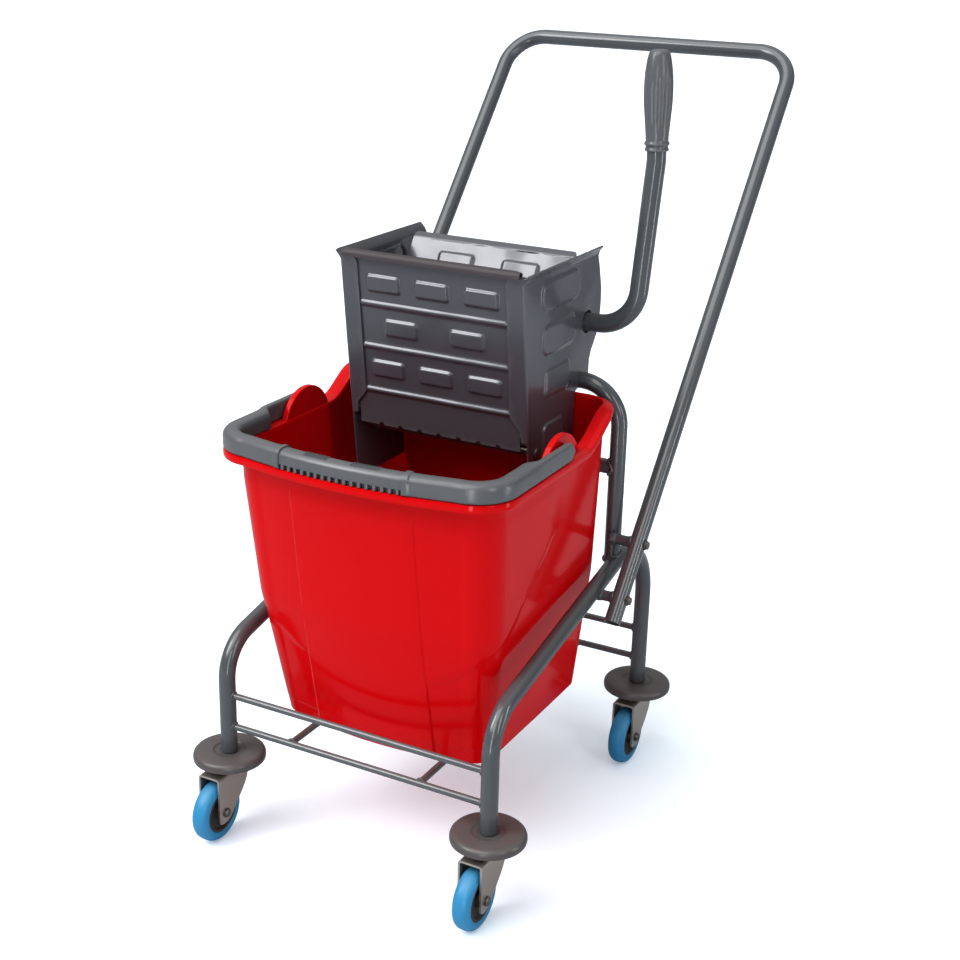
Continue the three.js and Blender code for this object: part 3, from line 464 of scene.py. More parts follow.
def fillet(corners: Sequence[Vector], radii: Sequence[float], steps: int = 14) -> list[Vector]:
    """Rounds the inner corners of a line.

    Args:
        corners: The line's corners.
        radii: A radius for each inner corner.
        steps: Steps in each bend.

    Returns:
        Points along the rounded line.
    """
    line = [corners[0]]
    for i in range(1, len(corners) - 1):
        before = (corners[i] - corners[i - 1]).normalized()
        after = (corners[i + 1] - corners[i]).normalized()
        turn = before.angle(after)
        start = corners[i] - before * radii[i - 1] * math.tan(turn / 2)
        inward = (after - before * before.dot(after)).normalized()
        for k in range(steps + 1):
            angle = turn * k / steps
            line.append(start + before * radii[i - 1] * math.sin(angle)
                        + inward * radii[i - 1] * (1 - math.cos(angle)))
    line.append(corners[-1])
    return line


def rounded_loop(corners: Sequence[Point2], radii: Sequence[float], steps: int = 5) -> list[Point2]:
    """Rounds every corner of a closed outline.

    Args:
        corners: The outline's corners in order.
        radii: A radius for each corner, 0 for a sharp one.
        steps: Steps in each round corner.

    Returns:
        The rounded outline.
    """
    count = len(corners)
    loop: list[Point2] = []
    for i, radius in enumerate(radii):
        here = Vector(corners[i])
        if radius <= 0:
            loop.append((here.x, here.y))
            continue
        before = (here - Vector(corners[i - 1])).normalized()
        after = (Vector(corners[(i + 1) % count]) - here).normalized()
        turn = before.angle(after)
        start = here - before * radius * math.tan(turn / 2)
        inward = (after - before * before.dot(after)).normalized()
        for k in range(steps + 1):
            angle = turn * k / steps
            spot = start + before * radius * math.sin(angle) + inward * radius * (1 - math.cos(angle))
            loop.append((spot.x, spot.y))
    return loop


def circle(radius: float, sides: int) -> list[Point2]:
    """A regular outline about the origin."""
    return [(radius * math.cos(math.tau * i / sides), radius * math.sin(math.tau * i / sides))
            for i in range(sides)]


def sweep(path: Sequence[Vector], outline: Callable[[int], Sequence[Point2]], up: Vector) -> Shell:
    """Carries an outline along a line and closes both ends.

    Args:
        path: Points along the line.
        outline: Gives the outline at each point, always with the same number of corners.
        up: A direction that the outline's second axis follows.

    Returns:
        The closed surface.
    """
    shell = Shell()
    last = len(path) - 1
    for i, spot in enumerate(path):
        along = (path[min(i + 1, last)] - path[max(i - 1, 0)]).normalized()
        rise = (up - along * up.dot(along)).normalized()
        across = along.cross(rise)
        shell.verts.extend(spot + across * a + rise * b for a, b in outline(i))
        up = rise
    count = len(shell.verts) // len(path)
    for i in range(last):
        for k in range(count):
            n = (k + 1) % count
            shell.faces.append((i * count + k, i * count + n, (i + 1) * count + n, (i + 1) * count + k))
    shell.faces.append(tuple(range(count)))
    shell.faces.append(tuple(range(last * count, (last + 1) * count)))
    return shell


def pipe(path: Sequence[Vector], radius: float, wall: float, sides: int = 36) -> Shell:
    """A hollow tube along a line, open at both ends.

    Args:
        path: Points along the centre line.
        radius: Outer radius.
        wall: Wall thickness.
        sides: Facets around it.

    Returns:
        The closed surface, bore included.
    """
    outer = sweep(path, lambda i: circle(radius, sides), Vector((0, 0.31, 0.95)))
    inner = sweep(path, lambda i: circle(radius - wall, sides), Vector((0, 0.31, 0.95)))
    first, end = len(outer.verts), (len(path) - 1) * sides
    shell = Shell(outer.verts + inner.verts, outer.faces[:-2])
    shell.faces.extend(tuple(i + first for i in reversed(face)) for face in inner.faces[:-2])
    for k in range(sides):
        n = (k + 1) % sides
        shell.faces.append((k, n, n + first, k + first))
        shell.faces.append((end + n, end + k, end + k + first, end + n + first))
    return shell


def lathe(profile: Sequence[Point2], segments: int = 64) -> Shell:
    """Turns a profile of radius and height round Z.

    Args:
        profile: The outline, closed on itself, or from the axis to the axis.
        segments: Facets around it.

    Returns:
        The closed surface.
    """
    shell = Shell()
    count = len(profile)
    for i in range(segments):
        angle = math.tau * i / segments
        shell.verts.extend(Vector((r * math.cos(angle), r * math.sin(angle), z)) for r, z in profile)
    open_ended = profile[0][0] < 1e-6 and profile[-1][0] < 1e-6
    for i in range(segments):
        n = (i + 1) % segments
        for k in range(count - 1 if open_ended else count):
            m = (k + 1) % count
            corners = (i * count + k, n * count + k, n * count + m, i * count + m)
            shell.faces.append(corners)
    return shell


def soften(profile: Sequence[Point2], radius: float, steps: int = 3) -> list[Point2]:
    """Rounds a turned profile's corners that lie off the axis.

    Args:
        profile: Radius and height pairs.
        radius: The rounding.
        steps: Steps in each corner.

    Returns:
        The softened profile.
    """
    count = len(profile)
    radii = []
    for i, (r, _) in enumerate(profile):
        here, back, ahead = Vector(profile[i]), Vector(profile[i - 1]), Vector(profile[(i + 1) % count])
        room = min((here - back).length, (ahead - here).length) * 0.45
        radii.append(0 if r < 1e-6 else min(radius, room))
    return rounded_loop(profile, radii, steps)


def slab(outline: Sequence[Point2], low: float, high: float) -> Shell:
    """An outline in the Y-Z plane, given thickness along X.

    Args:
        outline: Y and Z pairs.
        low: Lower X.
        high: Upper X.

    Returns:
        The closed plate.
    """
    count = len(outline)
    shell = Shell([Vector((x, y, z)) for x in (low, high) for y, z in outline])
    shell.faces.extend((k, (k + 1) % count, (k + 1) % count + count, k + count) for k in range(count))
    shell.faces.append(tuple(range(count)))
    shell.faces.append(tuple(range(count, 2 * count)))
    return shell


AROUND_X = Matrix.Rotation(math.pi / 2, 4, "Y")


def facing_out(sign: int, x: float, y: float, z: float) -> Matrix:
    """Turns a turned part's axis to point out of one side, and moves it there.

    Args:
        sign: The side's sign along X.
        x: Distance from the middle.
        y: Y of the axis.
        z: Z of the axis.

    Returns:
        The placing matrix.
    """
    return Matrix.Translation((sign * x, y, z)) @ Matrix.Rotation(sign * math.pi / 2, 4, "Y")


# ------------------------------------------------------------------------------------------ pressed sheet


@dataclass(frozen=True)
class Boss:
    """A raised rounded rectangle in a pressed sheet."""

    across: float
    down: float
    width: float
    height: float
    corner: float
    rise: float
    slope: float

    def gap(self, u: float, v: float) -> float:
        """Signed distance to the boss's edge, negative inside."""
        du = abs(u - self.across) - self.width / 2 + self.corner
        dv = abs(v - self.down) - self.height / 2 + self.corner
        return math.hypot(max(du, 0), max(dv, 0)) + min(max(du, dv), 0) - self.corner

    def lift(self, u: float, v: float) -> float:
        """Height of the boss at a point."""
        return self.rise * smooth(-self.gap(u, v) / self.slope)

    def guides(self) -> Iterable[Point2]:
        """Points that the sheet's mesh takes along the boss's contours."""
        straight = (max(1, int(self.height / 4)), max(1, int(self.width / 4)))
        for share in (-0.3, 0, 0.2, 0.4, 0.6, 0.8, 1, 1.35):
            out = -self.slope * share
            half_w, half_h = self.width / 2 + out, self.height / 2 + out
            radius = max(self.corner + out, 0.4)
            corners = [(-half_w, -half_h), (half_w, -half_h), (half_w, half_h), (-half_w, half_h)]
            loop = rounded_loop(corners, [radius] * 4, 5)
            for i, (a, b) in enumerate(loop):
                c, d = loop[(i + 1) % len(loop)]
                runs = straight[(i // 6 + 1) % 2] if i % 6 == 5 else 1
                for k in range(runs):
                    yield self.across + a + (c - a) * k / runs, self.down + b + (d - b) * k / runs

    def near(self, u: float, v: float) -> bool:
        """Whether a point is too close to the boss's own mesh points."""
        return -self.slope * 1.35 - 1.5 < self.gap(u, v) < self.slope * 0.3 + 1.5


@dataclass(frozen=True)
class Rib:
    """A raised rib of round section in a pressed sheet."""

    start: Point2
    end: Point2
    reach: float
    rise: float

    def away(self, u: float, v: float) -> float:
        """Distance from the rib's middle line."""
        along = Vector(self.end) - Vector(self.start)
        spot = Vector((u, v)) - Vector(self.start)
        share = min(max(spot.dot(along) / along.length_squared, 0), 1)
        return (spot - along * share).length

    def lift(self, u: float, v: float) -> float:
        """Height of the rib at a point."""
        return self.rise * (0.5 + 0.5 * math.cos(math.pi * min(self.away(u, v) / self.reach, 1)))

    def near(self, u: float, v: float) -> bool:
        """Whether a point is too close to the rib's own mesh points."""
        return self.away(u, v) < self.reach + 1.5

    def guides(self) -> Iterable[Point2]:
        """Points that the sheet's mesh takes along the rib."""
        along = Vector(self.end) - Vector(self.start)
        side = Vector((-along.y, along.x)).normalized()
        runs = int(along.length / 4)
        for k in range(runs + 1):
            for off in (-1.15, -0.9, -0.65, -0.4, -0.2, 0, 0.2, 0.4, 0.65, 0.9, 1.15):
                spot = Vector(self.start) + along * (k / runs) + side * off * self.reach
                yield spot.x, spot.y
        for end, turn in ((Vector(self.start), 1), (Vector(self.end), -1)):
            for ring in (0.4, 0.75, 1.1):
                for k in range(1, 8):
                    angle = math.pi * k / 8
                    ahead = along.normalized() * -turn * math.sin(angle) * ring * self.reach
                    spot = end + ahead + side * math.cos(angle) * ring * self.reach
                    yield spot.x, spot.y


@dataclass
class PressedSheet:
    """A flat pattern with bosses and ribs, laid into space by a fold."""

    outline: Sequence[Point2]
    features: Sequence[Boss | Rib]
    fold: Callable[[float, float, float], Vector]
    holes: Sequence[Sequence[Point2]] = ()
    pitch: float = 7.0
    waviness: float = 0.0

    def build(self, facing: Vector) -> Shell:
        """Meshes the sheet's outer face.

        Args:
            facing: Roughly the way that the outer face looks.

        Returns:
            The open surface.
        """
        loops = [self._divided(self.outline)] + [list(hole) for hole in self.holes]
        spots: list[Point2] = []
        edges: list[tuple[int, int]] = []
        for loop in loops:
            start = len(spots)
            spots.extend(loop)
            edges.extend((start + i, start + (i + 1) % len(loop)) for i in range(len(loop)))
        inner = [spot for feature in self.features for spot in feature.guides()]
        inner.extend(spot for spot in self._grid() if not any(part.near(*spot) for part in self.features))
        spots.extend(spot for spot in inner if self._inside(spot, loops[0])
                     and not any(self._inside(spot, hole) for hole in loops[1:]))
        flat, _, faces, *_ = delaunay_2d_cdt([Vector(spot) for spot in spots], edges, [], 1, 1e-3)
        shell = Shell()
        for spot in flat:
            lift = sum(feature.lift(spot.x, spot.y) for feature in self.features)
            lift += self.waviness * noise.noise(Vector((spot.x, spot.y, 3.1)) * 0.028)
            shell.verts.append(self.fold(spot.x, spot.y, lift))
        for face in faces:
            middle = sum((flat[i] for i in face), Vector((0, 0))) / len(face)
            if any(self._inside((middle.x, middle.y), hole) for hole in loops[1:]):
                continue
            a, b, c = (shell.verts[i] for i in face[:3])
            outward = (b - a).cross(c - a).dot(facing) > 0
            shell.faces.append(tuple(face) if outward else tuple(reversed(face)))
        return shell

    def _grid(self) -> Iterable[Point2]:
        """Evenly spaced points over the outline's box."""
        lows = [min(spot[k] for spot in self.outline) for k in (0, 1)]
        highs = [max(spot[k] for spot in self.outline) for k in (0, 1)]
        steps = [int((highs[k] - lows[k]) / self.pitch) for k in (0, 1)]
        for i in range(steps[0]):
            for k in range(steps[1]):
                yield (lows[0] + (highs[0] - lows[0]) * (i + 0.5) / steps[0],
                       lows[1] + (highs[1] - lows[1]) * (k + 0.5) / steps[1])

    @staticmethod
    def _divided(loop: Sequence[Point2]) -> list[Point2]:
        """The loop with its long runs divided."""
        result: list[Point2] = []
        for i, (a, b) in enumerate(loop):
            c, d = loop[(i + 1) % len(loop)]
            runs = max(1, int(math.hypot(c - a, d - b) / 5))
            result.extend((a + (c - a) * k / runs, b + (d - b) * k / runs) for k in range(runs))
        return result

    @staticmethod
    def _inside(spot: Point2, loop: Sequence[Point2]) -> bool:
        """Whether a point is inside a loop."""
        found = False
        for i, (a, b) in enumerate(loop):
            c, d = loop[i - 1]
            if (b > spot[1]) != (d > spot[1]) and spot[0] < (c - a) * (spot[1] - b) / (d - b) + a:
                found = not found
        return found


# ------------------------------------------------------------------------------------------ geometry nodes


class Pattern(Enum):
    """The geometry node trees that the trolley uses."""

    TUBE = "tube_on_path"
    WELD = "weld_on_seam"
    ROW = "row_on_path"


class NodeShop:
    """Builds each geometry node tree once and runs it on a line."""

    def __init__(self, paints: Paintbox) -> None:
        """Takes the materials.

        Args:
            paints: The trolley's finishes.
        """
        self.paints = paints
        self.inputs: dict[Pattern, dict[str, str]] = {}
        self.trees: dict[Pattern, bpy.types.NodeTree] = {}
        builders = {Pattern.TUBE: self._tube, Pattern.WELD: self._weld, Pattern.ROW: self._row}
        for pattern, build in builders.items():
            graph = Graph(bpy.data.node_groups.new(pattern.value, "GeometryNodeTree"))
            self.trees[pattern] = graph.tree
            self.inputs[pattern] = {"Geometry": graph.socket("Geometry", "Geometry")}
            build(graph, self.inputs[pattern])

    @staticmethod
    def _close(graph: Graph, geometry: bpy.types.NodeSocket, material: bpy.types.NodeSocket) -> None:
        """Ends a tree in Realize Instances and Set Material."""
        graph.socket("Geometry", "Geometry", output=True)
        whole = graph.node("GeometryNodeRealizeInstances", Geometry=geometry)
        painted = graph.node("GeometryNodeSetMaterial", Geometry=whole.outputs[0], Material=material)
        graph.node("NodeGroupOutput", Geometry=painted.outputs[0])

    def _tube(self, graph: Graph, names: dict[str, str]) -> None:
        """A capped round tube along a line."""
        names["Radius"] = graph.socket("Radius", "Float", 0.01)
        names["Sides"] = graph.socket("Sides", "Int", 32)
        names["Material"] = graph.socket("Material", "Material")
        given = graph.node("NodeGroupInput").outputs
        line = graph.node("GeometryNodeMeshToCurve", Mesh=given["Geometry"])
        ring = graph.node("GeometryNodeCurvePrimitiveCircle", Resolution=given["Sides"],
                          Radius=given["Radius"])
        body = graph.node("GeometryNodeCurveToMesh", Curve=line.outputs[0], Profile_Curve=ring.outputs[0],
                          Fill_Caps=True)
        self._close(graph, body.outputs[0], given["Material"])

    def _weld(self, graph: Graph, names: dict[str, str]) -> None:
        """A weld bead: a thin fillet with overlapping ripples on it."""
        names["Radius"] = graph.socket("Radius", "Float", 0.0016)
        names["Pitch"] = graph.socket("Pitch", "Float", 0.0016)
        names["Seed"] = graph.socket("Seed", "Int", 7)
        names["Material"] = graph.socket("Material", "Material")
        given = graph.node("NodeGroupInput").outputs
        line = graph.node("GeometryNodeMeshToCurve", Mesh=given["Geometry"])
        ring = graph.node("GeometryNodeCurvePrimitiveCircle", Resolution=10, Radius=given["Radius"])
        base = graph.node("GeometryNodeCurveToMesh", Curve=line.outputs[0], Profile_Curve=ring.outputs[0])
        beads = graph.node("GeometryNodeCurveToPoints", {"mode": "LENGTH"}, Curve=line.outputs[0],
                           Length=given["Pitch"])
        drop = graph.node("GeometryNodeMeshIcoSphere", Radius=given["Radius"], Subdivisions=2)
        size = graph.node("FunctionNodeRandomValue", _2=0.95, _3=1.3, Seed=given["Seed"])
        ripples = graph.node("GeometryNodeInstanceOnPoints", Points=beads.outputs["Points"],
                             Instance=drop.outputs["Mesh"], Rotation=beads.outputs["Rotation"],
                             Scale=size.outputs[1])
        both = graph.node("GeometryNodeJoinGeometry")
        graph.feed(both.inputs[0], base.outputs[0])
        graph.feed(both.inputs[0], ripples.outputs[0])
        self._close(graph, both.outputs[0], given["Material"])

    def _row(self, graph: Graph, names: dict[str, str]) -> None:
        """A row of small rounded bars along a line, square to the axes."""
        names["Count"] = graph.socket("Count", "Int", 10)
        names["Size"] = graph.socket("Size", "Vector", (0.001, 0.001, 0.001))
        names["Material"] = graph.socket("Material", "Material")
        given = graph.node("NodeGroupInput").outputs
        line = graph.node("GeometryNodeMeshToCurve", Mesh=given["Geometry"])
        spots = graph.node("GeometryNodeCurveToPoints", {"mode": "COUNT"}, Curve=line.outputs[0],
                           Count=given["Count"])
        bar = graph.node("GeometryNodeMeshCube", Size=(1, 1, 1), Vertices_X=3, Vertices_Y=3, Vertices_Z=3)
        round_bar = graph.node("GeometryNodeSubdivisionSurface", Mesh=bar.outputs["Mesh"], Level=1)
        row = graph.node("GeometryNodeInstanceOnPoints", Points=spots.outputs["Points"],
                         Instance=round_bar.outputs[0], Scale=given["Size"])
        self._close(graph, row.outputs[0], given["Material"])

    def run(self, pattern: Pattern, lines: Sequence[Sequence[Vector]], finish: Finish, name: str,
            closed: bool = False, **values: object) -> bpy.types.Mesh:
        """Runs a tree on some lines and returns its plain mesh.

        Args:
            pattern: Which tree.
            lines: Lines in working millimetres.
            finish: The finish that the tree sets.
            name: The mesh's name.
            closed: True where each line is a loop.
            **values: The tree's other inputs by name.

        Returns:
            The evaluated mesh, in metres.
        """
        data = bpy.data.meshes.new(name + "_line")
        spots: list[Vector] = []
        edges: list[tuple[int, int]] = []
        for line in lines:
            start = len(spots)
            spots.extend(LAYOUT.metres(spot) for spot in line)
            edges.extend((start + i, start + i + 1) for i in range(len(line) - 1))
            if closed:
                edges.append((start + len(line) - 1, start))
        data.from_pydata(spots, edges, [])
        holder = bpy.data.objects.new(name + "_line", data)
        bpy.context.scene.collection.objects.link(holder)
        modifier = holder.modifiers.new(pattern.value, "NODES")
        modifier.node_group = self.trees[pattern]
        for key, value in {**values, "Material": self.paints.made[finish.name]}.items():
            modifier[self.inputs[pattern][key]] = value
        seen = holder.evaluated_get(bpy.context.evaluated_depsgraph_get())
        mesh = bpy.data.meshes.new_from_object(seen)
        mesh.name = name
        bpy.data.objects.remove(holder)
        work = bmesh.new()
        work.from_mesh(mesh)
        bmesh.ops.remove_doubles(work, verts=work.verts, dist=1e-7)
        bmesh.ops.recalc_face_normals(work, faces=work.faces)
        work.to_mesh(mesh)
        work.free()
        mesh.shade_smooth()
        mesh.set_sharp_from_angle(angle=math.radians(38))
        return mesh


# ------------------------------------------------------------------------------------------ sub-assemblies


class Assembly:
    """What every sub-assembly shares: finishing and reporting its pieces."""

    def __init__(self, paints: Paintbox, shop: NodeShop) -> None:
        """Takes the shared tools.

        Args:
            paints: The trolley's finishes.
            shop: The geometry node trees.
        """
        self.paints = paints
        self.shop = shop

    def place(self, name: str, mesh: bpy.types.Mesh, body: str, slot: str, finish: Finish,
              *replaced: str) -> bpy.types.Object:
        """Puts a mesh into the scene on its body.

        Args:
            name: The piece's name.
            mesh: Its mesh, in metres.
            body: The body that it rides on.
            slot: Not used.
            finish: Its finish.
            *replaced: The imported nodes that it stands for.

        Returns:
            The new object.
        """
        piece = bpy.data.objects.new(name, mesh)
        bpy.context.scene.collection.objects.link(piece)
        self.paints.dress(piece, finish)
        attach(piece, body)
        if replaced:
            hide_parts(*replaced)
        LOG.info("%s on %s, %d faces", name, body, len(mesh.polygons))
        return piece

    @staticmethod
    def thicken(piece: bpy.types.Object, thickness: float) -> None:
        """Gives an open sheet its thickness, inward from its outer face, with its rim left sharp.

        Args:
            piece: The sheet.
            thickness: In millimetres.
        """
        modifier = piece.modifiers.new("sheet", "SOLIDIFY")
        modifier.thickness = thickness * MM
        modifier.offset = -1
        whole = piece.evaluated_get(bpy.context.evaluated_depsgraph_get())
        solid = bpy.data.meshes.new_from_object(whole)
        piece.modifiers.clear()
        piece.data = solid
        solid.set_sharp_from_angle(angle=math.radians(45))

    @staticmethod
    def round_edges(piece: bpy.types.Object, width: float, segments: int = 2) -> None:
        """Rounds a piece's sharp edges.

        Args:
            piece: The piece.
            width: Size of the rounding in millimetres.
            segments: Steps in it.
        """
        modifier = piece.modifiers.new("edges", "BEVEL")
        modifier.width = width * MM
        modifier.segments = segments
        modifier.limit_method = "ANGLE"
        modifier.angle_limit = math.radians(40)


SIDES = (("left", -1), ("right", 1))
ENDS = (("front", -1), ("rear", 1))


def ring_about(centre: Vector, axis: Vector, radius: float, sides: int = 28) -> list[Vector]:
    """A loop of points round an axis.

    Args:
        centre: The loop's middle.
        axis: Its normal.
        radius: Its radius.
        sides: How many points.

    Returns:
        The loop.
    """
    turn = Vector((0, 0, 1)).rotation_difference(axis.normalized())
    return [centre + turn @ Vector((a, b, 0)) for a, b in circle(radius, sides)]


@dataclass
class TubeFrame:
    """The welded frame: side tubes, arch, rods and welds."""

    shop: Assembly
    rod_r: float = 4.0
    cross_r: float = 9.0
    cross_inset: float = 6.0
    rod_inset: float = 7.0
    front_bend: float = 52.0
    rear_bend: float = 80.0
    front_rise: float = 135.0
    rear_rise: float = 228.0
    arch_bend: float = 50.0
    floor_rod_x: float = 87.0

    def rail(self, x: float) -> list[Vector]:
        """Centre line of one side tube."""
        foot, half = LAYOUT.leg_foot, LAYOUT.leg_y
        corners = [Vector((x, -half, foot)), Vector((x, -half, foot + self.front_rise)),
                   Vector((x, half, foot + self.rear_rise)), Vector((x, half, foot))]
        return fillet(corners, [self.front_bend, self.rear_bend], 20)

    def rail_height(self, y: float) -> float:
        """Height of a side tube's centre line over y."""
        share = (y + LAYOUT.leg_y) / (2 * LAYOUT.leg_y)
        return LAYOUT.leg_foot + self.front_rise + (self.rear_rise - self.front_rise) * share

    def build(self) -> None:
        """Makes the frame's pieces."""
        for side, sign in SIDES:
            self._tube(f"side_tube_{side}", self.rail(sign * LAYOUT.leg_x), TUBE_R, 40, f"side_frame_{side}")
        x, y, foot, top = LAYOUT.arch_x, LAYOUT.arch_y, self.rail_height(LAYOUT.arch_y), LAYOUT.arch_z
        corners = [Vector((-x, y, foot)), Vector((-x, y, top)), Vector((x, y, top)), Vector((x, y, foot))]
        arch = fillet(corners, [self.arch_bend] * 2, 18)
        self._tube("arch_tube", arch, TUBE_R, 40, "rear_arch")
        reach = x - self.cross_inset
        cross = [Vector((-reach, y, LAYOUT.cross_z)), Vector((reach, y, LAYOUT.cross_z))]
        self._tube("cross_tube", cross, self.cross_r, 36, "arch_cross_tube")
        self._rods()
        self._welds()

    def _tube(self, name: str, line: Sequence[Vector], radius: float, sides: int, node: str) -> None:
        """Makes one tube or rod of the frame.

        Args:
            name: The piece's name.
            line: Its centre line.
            radius: Its radius.
            sides: Facets around it.
            node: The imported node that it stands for.
        """
        mesh = self.shop.shop.run(Pattern.TUBE, [line], FRAME_COAT, name, Radius=radius * MM, Sides=sides)
        self.shop.place(name, mesh, "trolley", "frame", FRAME_COAT, node)

    def _rods(self) -> None:
        """Makes the cross rods and the two rods under the bucket."""
        reach, run = LAYOUT.leg_x - self.rod_inset, LAYOUT.leg_y - 1
        for end, sign in ENDS:
            for level, z in (("upper", LAYOUT.rod_high), ("lower", LAYOUT.rod_low)):
                line = [Vector((-reach, sign * LAYOUT.leg_y, z)), Vector((reach, sign * LAYOUT.leg_y, z))]
                self._tube(f"{end}_bar_{level}", line, self.rod_r, 24, f"{end}_rod_{level}")
        for side, sign in SIDES:
            x = sign * self.floor_rod_x
            line = [Vector((x, -run, LAYOUT.rod_low)), Vector((x, run, LAYOUT.rod_low))]
            self._tube(f"under_bar_{side}", line, self.rod_r, 24, f"floor_rod_{side}")

    def _welds(self) -> None:
        """Makes the weld beads."""
        small: list[list[Vector]] = []
        large: list[list[Vector]] = []
        for _, sx in SIDES:
            for _, sy in ENDS:
                for z in (LAYOUT.rod_low, LAYOUT.rod_high):
                    small.append(self._saddle(sx, sy * LAYOUT.leg_y, z, self.rod_r + 0.7))
            large.append(self._saddle(sx, LAYOUT.arch_y, LAYOUT.cross_z, self.cross_r + 0.8, LAYOUT.arch_x))
            for sy in (-1, 1):
                centre = Vector((sx * self.floor_rod_x, sy * (LAYOUT.leg_y - 3), LAYOUT.rod_low))
                small.append(ring_about(centre, Vector((0, 1, 0)), self.rod_r + 0.5, 20))
            large.append(self._arch_seam(sx))
        for name, lines, radius in (("rod_welds", small, 1.25), ("arch_welds", large, 1.6)):
            mesh = self.shop.shop.run(Pattern.WELD, lines, FRAME_COAT, name, closed=True, Radius=radius * MM,
                                      Pitch=radius * 1.2 * MM, Seed=11)
            self.shop.place(name, mesh, "trolley", "frame", FRAME_COAT)

    def _saddle(self, sign: int, y: float, z: float, radius: float, leg_x: float = 0.0) -> list[Vector]:
        """The seam where a bar along X meets a leg, from inside."""
        leg_x = leg_x or LAYOUT.leg_x
        loop = []
        for a, b in circle(radius, 26):
            inset = math.sqrt(max(TUBE_R ** 2 - a * a, 0.0)) if abs(a) < TUBE_R else 0.0
            loop.append(Vector((sign * (leg_x - inset - 0.2), y + a, z + b)))
        return loop

    def _arch_seam(self, sign: int) -> list[Vector]:
        """The seam where an arch leg stands on a side tube."""
        loop = []
        for a, b in circle(TUBE_R + 0.6, 36):
            x = sign * LAYOUT.arch_x + a
            off = x - sign * LAYOUT.leg_x
            rise = math.sqrt(max((TUBE_R + 0.2) ** 2 - min(abs(off), TUBE_R) ** 2, 0.0))
            y = LAYOUT.arch_y + b
            loop.append(Vector((x, y, self.rail_height(y) + rise)))
        return loop


@dataclass
class PushHandle:
    """The bent handle with its lugs and bolts."""

    shop: Assembly
    half: float = 208.0
    foot: Point2 = (34.2, 162.0)
    run: float = 522.4
    rise: float = 618.5
    bend: float = 50.0
    wall: float = 1.5
    bolts: Point2 = (31.0, 103.0)

    def on_leg(self, distance: float) -> Point2:
        """Y and Z on a leg's centre line, measured up from its lower end."""
        length = math.hypot(self.run, self.rise)
        return (self.foot[0] + self.run * distance / length,
                LAYOUT.leg_foot + self.foot[1] + self.rise * distance / length)

    def build(self) -> None:
        """Makes the handle, its lugs and its bolts."""
        low = LAYOUT.leg_foot + self.foot[1]
        top = (self.foot[0] + self.run, low + self.rise)
        line = fillet([Vector((-self.half, self.foot[0], low)), Vector((-self.half, *top)),
                       Vector((self.half, *top)), Vector((self.half, self.foot[0], low))],
                      [self.bend] * 2, 20)
        mesh = pipe(line, TUBE_R, self.wall, 40).mesh("handle_tube")
        self.shop.place("handle_tube", mesh, "trolley", "frame", FRAME_COAT, "push_handle")
        for level, distance, inner in zip(("lower", "upper"), self.bolts, (LAYOUT.leg_x, LAYOUT.arch_x)):
            y, z = self.on_leg(distance)
            for side, sign in SIDES:
                self._lug(level, side, sign, y, z, inner)

    def _lug(self, level: str, side: str, sign: int, y: float, z: float, inner: float) -> None:
        """Makes one lug with its bolt.

        Args:
            level: Lower or upper.
            side: Left or right.
            sign: The side's sign along X.
            y: The bolt's Y.
            z: The bolt's Z.
            inner: X of the tube that the lug is welded to.
        """
        reach = self.half - inner
        profile = [(0, 3), (8.2, 3), (7.0, 9.5), (6.4, 11), (6.4, reach - 13), (7.6, reach - 10),
                   (9.2, reach - 6.5), (0, reach - 6.5)]
        key = f"{level}_{side}"
        turned = lathe(soften(profile, 1.6), 40).moved(facing_out(sign, inner, y, z))
        self.shop.place(f"lug_{key}", turned.mesh(f"lug_{key}"), "trolley", "frame", FRAME_COAT,
                        f"handle_lug_{key}")
        bolt = lathe([(0, -30), (2.9, -30), (2.9, 0.2), (6.3, 0.2), (6.3, 0.9), (5.2, 1.0), (5.2, 1.2),
                      (0, 1.2)], 40)
        shell = bolt.join(self._hexagon(5.4, 1.1, 4.2)).moved(facing_out(sign, self.half + TUBE_R, y, z))
        piece = self.shop.place(f"bolt_{key}", shell.mesh(f"bolt_{key}"), "trolley", "bolt", DARK_ZINC,
                                f"handle_bolt_{key}")
        self.shop.round_edges(piece, 0.35)

    @staticmethod
    def _hexagon(radius: float, low: float, high: float) -> Shell:
        """A hexagon head with a slightly domed top."""
        profile = [(0, low), (radius, low), (radius, high - 0.8), (radius - 1.0, high), (0, high)]
        return lathe(profile, 6)


